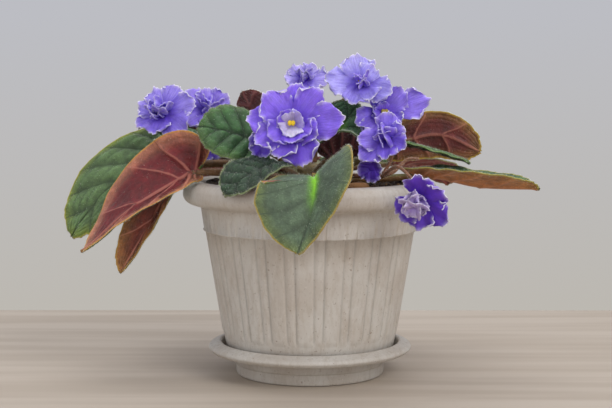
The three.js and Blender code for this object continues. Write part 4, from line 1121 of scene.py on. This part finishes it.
def petal_colours(flower, kind, droop, draw):
    """A petal's colour with painted shade, the one at its root and in its streaks, and its rim's."""
    violet = colour(*DEEP_VIOLET)
    rim = colour(238, 234, 250)
    # Painted shade: downward petals are darker, inner and heart petals without their own tint darker still.
    low = smooth(droop, -0.35, 1) * draw.uniform(0.35, 0.6)
    tint = lerp(colour(*flower["tint"]), violet, low if kind == "outer" else 0.55) * draw.uniform(0.92, 1.04)
    # deep, the root colour: partly the petal's own deeper violet, partly painted shade where petals overlap.
    deep = lerp(tint, violet, 0.8)
    if kind + "_tint" in flower:
        tint = lerp(colour(*flower[kind + "_tint"]), tint, draw.uniform(0, flower["blend"]))
        deep = lerp(tint, violet, 0.35)
    return tint, deep, lerp(tint, rim, 0.2), rim if kind == "outer" else lerp(tint, rim, 0.55)


def petal(shape, flower, plan, kind, seed):
    """A petal from the hub to its frilled margin, as a thin closed sheet."""
    draw = np.random.RandomState(seed)
    plain = kind != "outer" or flower["closed"]
    grid, out, share, across, edge, near = petal_sheet(flower, plan, plain, draw)
    normal = -normals(grid)
    normal = normal * np.sign((normal * unit(flower["face"])).sum(-1, keepdims=True) + 1e-9)
    thick = lerp(0.3, 0.12, near)[..., None]
    groove = (0.09 * np.sin(13 * across + 2 * share) * smooth(share, 0.1, 0.4))[..., None]
    upper = grid + normal * (thick + groove)
    lower = grid - normal * (thick - groove)
    tint, deep, back, rim = petal_colours(flower, kind, -out[2], draw)
    flat = 0 * share * across
    grain = np.stack([across * plan[2] * 1.5 + flat, share * plan[1] * 0.14 + flat, flat + seed], -1)
    faces = sheet_faces(*flat.shape)
    if np.cross(grid[1, 0] - grid[0, 0], grid[0, 1] - grid[0, 0]) @ normal[0, 0] <= 0:
        faces = [faces[0][:, ::-1]]
    shape.add(
        np.concatenate([upper.reshape(-1, 3), lower.reshape(-1, 3)]),
        faces,
        tint=np.repeat([tint, back], flat.size, 0),
        line=np.repeat([deep, lerp(back, deep, 0.4)], flat.size, 0),
        rim=rim,
        vein=np.tile((share + flat).ravel(), 2),
        edge=np.tile(edge.ravel(), 2),
        grain=np.tile(grain.reshape(-1, 3), (2, 1)),
    )


def placed(points, flower):
    """Points given along a flower's right, up and face, in place."""
    face, up, right = flower_frame(flower)
    return np.array(flower["at"], float) + np.asarray(points) @ np.array([right, up, face])


def build_flower(flower, seed):
    shape = Shape(flower["name"] + "_fine")
    rings = [(kind, flower[kind]) for kind in ("outer", "inner", "heart") if kind in flower]
    for level, (kind, ring) in enumerate(rings):
        for n, plan in enumerate(ring):
            petal(shape, flower, plan, kind, seed * 50 + level * 20 + n)
    hub = lathe(rounded([[0.01, -HUB_DEPTH], [2.2, -HUB_DEPTH], [3.1, 0], [2.3, 0.9], [0.01, 1.0]], 0.6), 20)
    points, faces = tube(hub)
    shape.plain(placed(points, flower), faces, colour(*DEEP_VIOLET), vein=0.1)
    shape.finish(PETAL, "violet", flower["name"])


def ball(radii, rows=9, sides=14):
    """Rings of an egg about the origin."""
    lat = np.linspace(-np.pi / 2 + 0.02, np.pi / 2 - 0.02, rows)
    rings = lathe(np.stack([np.cos(lat), np.sin(lat)], -1), sides)
    return rings * radii


def build_anthers(flower):
    """Two plump yellow lobes side by side, with a crease down each."""
    name = flower["name"].replace("flower", "anthers")
    shape = Shape(name + "_fine")
    rise = flower["rise"]
    for x in (-ANTHERS_APART, ANTHERS_APART):
        lobe = ball([1.15, 1.5, 1.05])
        crease = 0.28 * np.exp(-((lobe[..., 0] / 0.35) ** 2)) * (lobe[..., 2] > 0)
        lobe[..., 2] -= crease
        points, faces = tube(lobe + [x, 0, rise])
        shape.add(placed(points, flower), faces, tint=colour(*flower["pollen"]))
    points, faces = tube(lathe([[0.55, 0.9], [0.55, rise]], 14) + [0, 0.2, 0])
    shape.add(placed(points, flower), faces, tint=colour(206, 200, 130))
    shape.finish(POLLEN, "pollen", name)


# The flower stalks: trunk runs from the crown to a fork, and each branch from there to its flower's back
STALKS = [
    dict(
        name="stalk_centre",
        trunk=[[-1, -4.6, 116.5], [-1.2, -5.4, 121], [-4, -22, 128]],
        branches=dict(flower_centre=[-7, -38, 134], flower_under=[-15, -28, 129.5]),
    ),
    dict(
        name="stalk_top",
        trunk=[[2.5, 3, 116.5], [2.8, 3.6, 121], [6, 7, 138]],
        branches=dict(flower_top=[17, 2, 150], flower_top_back=[0, 18, 150], flower_right=[28, 3, 141]),
    ),
    dict(
        name="stalk_left",
        trunk=[[-4.6, 1.5, 116.5], [-5.4, 1.6, 121], [-34, 2, 129]],
        branches=dict(
            flower_left=[-66, 6, 136],
            flower_left_inner=[-50, 12, 136],
            flower_left_low=[-48, 4, 127],
        ),
    ),
    dict(
        name="stalk_right",
        trunk=[[6.2, -7.6, 110.5], [12, -14, 112], [24, -25, 111], [38, -35, 111.5]],
        branches=dict(
            flower_ruffled=[43, -36, 122],
            flower_shaded=[37, -31.5, 114.5],
            flower_hanging=[46, -47, 117],
        ),
        twig=[[38, -35, 111.5], [44, -37, 114], [51, -38, 120.5], [57, -40, 121]],
    ),
]
STALK_TONE = (136, 96, 70)
TWIG_TONE = (150, 110, 84)


def stalk_tube(shape, points, start, end, draw, tone, count=26, sides=10):
    centre, tangent = evenly(points, count, "centripetal")
    side = unit(np.cross(tangent, [0.31, 0.17, 0.93]))
    other = np.cross(tangent, side)
    a = turns(sides)
    r = np.linspace(start, end, count) * (1 + 0.05 * np.sin(np.linspace(0, 9, count)))
    spokes = side[:, None] * np.cos(a)[None, :, None] + other[:, None] * np.sin(a)[None, :, None]
    rings = centre[:, None] + spokes * r[:, None, None]
    shape.plain(*tube(rings), colour(*tone))
    n = int(np.linalg.norm(np.diff(centre, axis=0), axis=1).sum() * 9)
    i, j = draw.randint(0, count, n), draw.randint(0, sides, n)
    aim = spokes[i, j] + draw.normal(size=(n, 3)) * 0.3
    hairs(shape, rings[i, j], aim, draw.uniform(0.5, 1.3, n), 0.035, colour(228, 222, 208), draw)


def sepals(shape, flower):
    """The calyx: five pointed sepals that cup the flower's back."""
    top = -HUB_DEPTH - 0.9
    share = np.linspace(0, 1, 9)[:, None]
    across = np.linspace(-1, 1, 7)[None, :]
    reach = 0.5 + 4.6 * share
    span = across * 1.35 * np.sin(np.pi * (0.18 + 0.82 * share)) ** 0.8
    rise = top + 0.55 * share**2 - 0.2 + 0.3 * across**2
    tint = colour(112, 104, 62)
    for turn in turns(5):
        x = reach * math.cos(turn) - span * math.sin(turn)
        y = reach * math.sin(turn) + span * math.cos(turn)
        inner = np.stack([x, y, rise + 0 * x], -1).reshape(-1, 3)
        points = placed(np.concatenate([inner, inner - [0, 0, 0.5]]), flower)
        shape.add(points, sheet_faces(9, 7), tint=tint, line=tint, rim=colour(140, 92, 70))
    hub = lathe([[0.01, top - 1.6], [1.3, top - 1.3], [2.1, top - 0.3], [0.01, top]], 12)
    points, faces = tube(hub)
    shape.plain(placed(points, flower), faces, colour(120, 100, 64))


def build_stalk(plan, seed):
    """A trunk with its branches, each with a calyx, and a bare twig where the plan has one."""
    draw = np.random.RandomState(seed)
    shape = Shape(plan["name"] + "_fine")
    fork = plan["trunk"][-1]
    stalk_tube(shape, plan["trunk"], 1.4, 1.25, draw, STALK_TONE)
    for name, by in plan["branches"].items():
        flower = next(one for one in FLOWERS if one["name"] == name)
        face = unit(flower["face"])
        at = np.array(flower["at"], float)
        route = [fork, by, at - face * (HUB_DEPTH + 5), at - face * (HUB_DEPTH + 1.1)]
        stalk_tube(shape, route, 0.95, 0.85, draw, STALK_TONE)
        sepals(shape, flower)
    if "twig" in plan:
        stalk_tube(shape, plan["twig"], 1.1, 0.6, draw, TWIG_TONE)
    shape.finish(STEM, "stem", plan["name"])


build_pot()
build_saucer()
build_soil()
build_crown()
for k, leaf in enumerate(LEAVES):
    build_leaf(LEAF_REST | leaf, LEAF_SEED + k)
for k, flower in enumerate(FLOWERS):
    flower = FLOWER_REST | flower
    build_flower(flower, FLOWER_SEED + k)
    if not flower["closed"]:
        build_anthers(flower)
for k, plan in enumerate(STALKS):
    build_stalk(plan, STALK_SEED + k)


def build_table():
    """A plain pale table top, far wider than the picture."""
    table = Shape("table_top")
    across, near = [-TABLE_REACH, TABLE_REACH], -TABLE_REACH
    corners = [[x, near, TABLE_TOP] for x in across] + [[x, TABLE_BACK, TABLE_TOP] for x in across[::-1]]
    table.add(corners, np.array([[0, 1, 2, 3]]))
    p = Paint("table_paint", Roughness=0.7)
    grain = p.node("ShaderNodeMapping", {"Vector": p.place(), "Scale": (1.0, 14.0, 1.0)})
    tone = p.mix(p.band(p.noise(3.5, 3, grain), 0.35, 0.65), colour(178, 165, 150), colour(190, 178, 164))
    table.finish(p.done(tone), None, stage=True)


def build_surround():
    """A pale grey surround, a little warmer below the horizon."""
    world = bpy.data.worlds.new("surround")
    bpy.context.scene.world = world
    world.use_nodes = True
    p = Nodes(world.node_tree)
    way = p.node("ShaderNodeTexCoord", {}, out="Generated")
    height = p.node("ShaderNodeSeparateXYZ", {0: way}, out="Z")
    share = p.node("ShaderNodeMapRange", {"Value": height, "From Min": -0.16, "From Max": 0.04})
    tone = p.mix(share, colour(188, 184, 177), colour(188, 189, 195))
    p.plug(p.tree.nodes["Background"].inputs["Color"], tone)


def build_lights():
    """Four soft square lights, with place and size in metres and power in watts, that look at the plant."""
    for name, place, size, power, tone in (
        ("key", (1.3, -1.5, 1.5), 1.4, 26, (1.0, 0.975, 0.95)),
        ("fill", (-1.5, -1.3, 0.9), 1.6, 7, (0.95, 0.97, 1.0)),
        ("top", (-0.1, 0.3, 1.8), 1.2, 11, (1.0, 1.0, 1.0)),
        ("front", (-0.2, -1.8, 0.2), 1.2, 4, (1.0, 0.98, 0.95)),
    ):
        light = bpy.data.lights.new(name, "AREA")
        light.size = size
        light.energy = power
        light.color = tone
        lamp = add_object(name, light)
        lamp.location = place
        lamp.rotation_euler = (Vector((0, 0, 0.1)) - Vector(place)).to_track_quat("-Z", "Y").to_euler()


def build_camera():
    data = bpy.data.cameras.new("camera")
    data.sensor_width = SENSOR
    data.lens = FOCAL_LENGTH / PHOTO_WIDTH * SENSOR
    data.clip_start = 0.05
    camera = add_object("camera", data)
    camera.location = CAMERA_AT
    camera.rotation_euler = (math.radians(90 - CAMERA_DOWN), 0, math.radians(CAMERA_TURN))
    bpy.context.scene.camera = camera


build_table()
build_surround()
build_lights()
build_camera()
bpy.context.scene.view_settings.view_transform = "Standard"
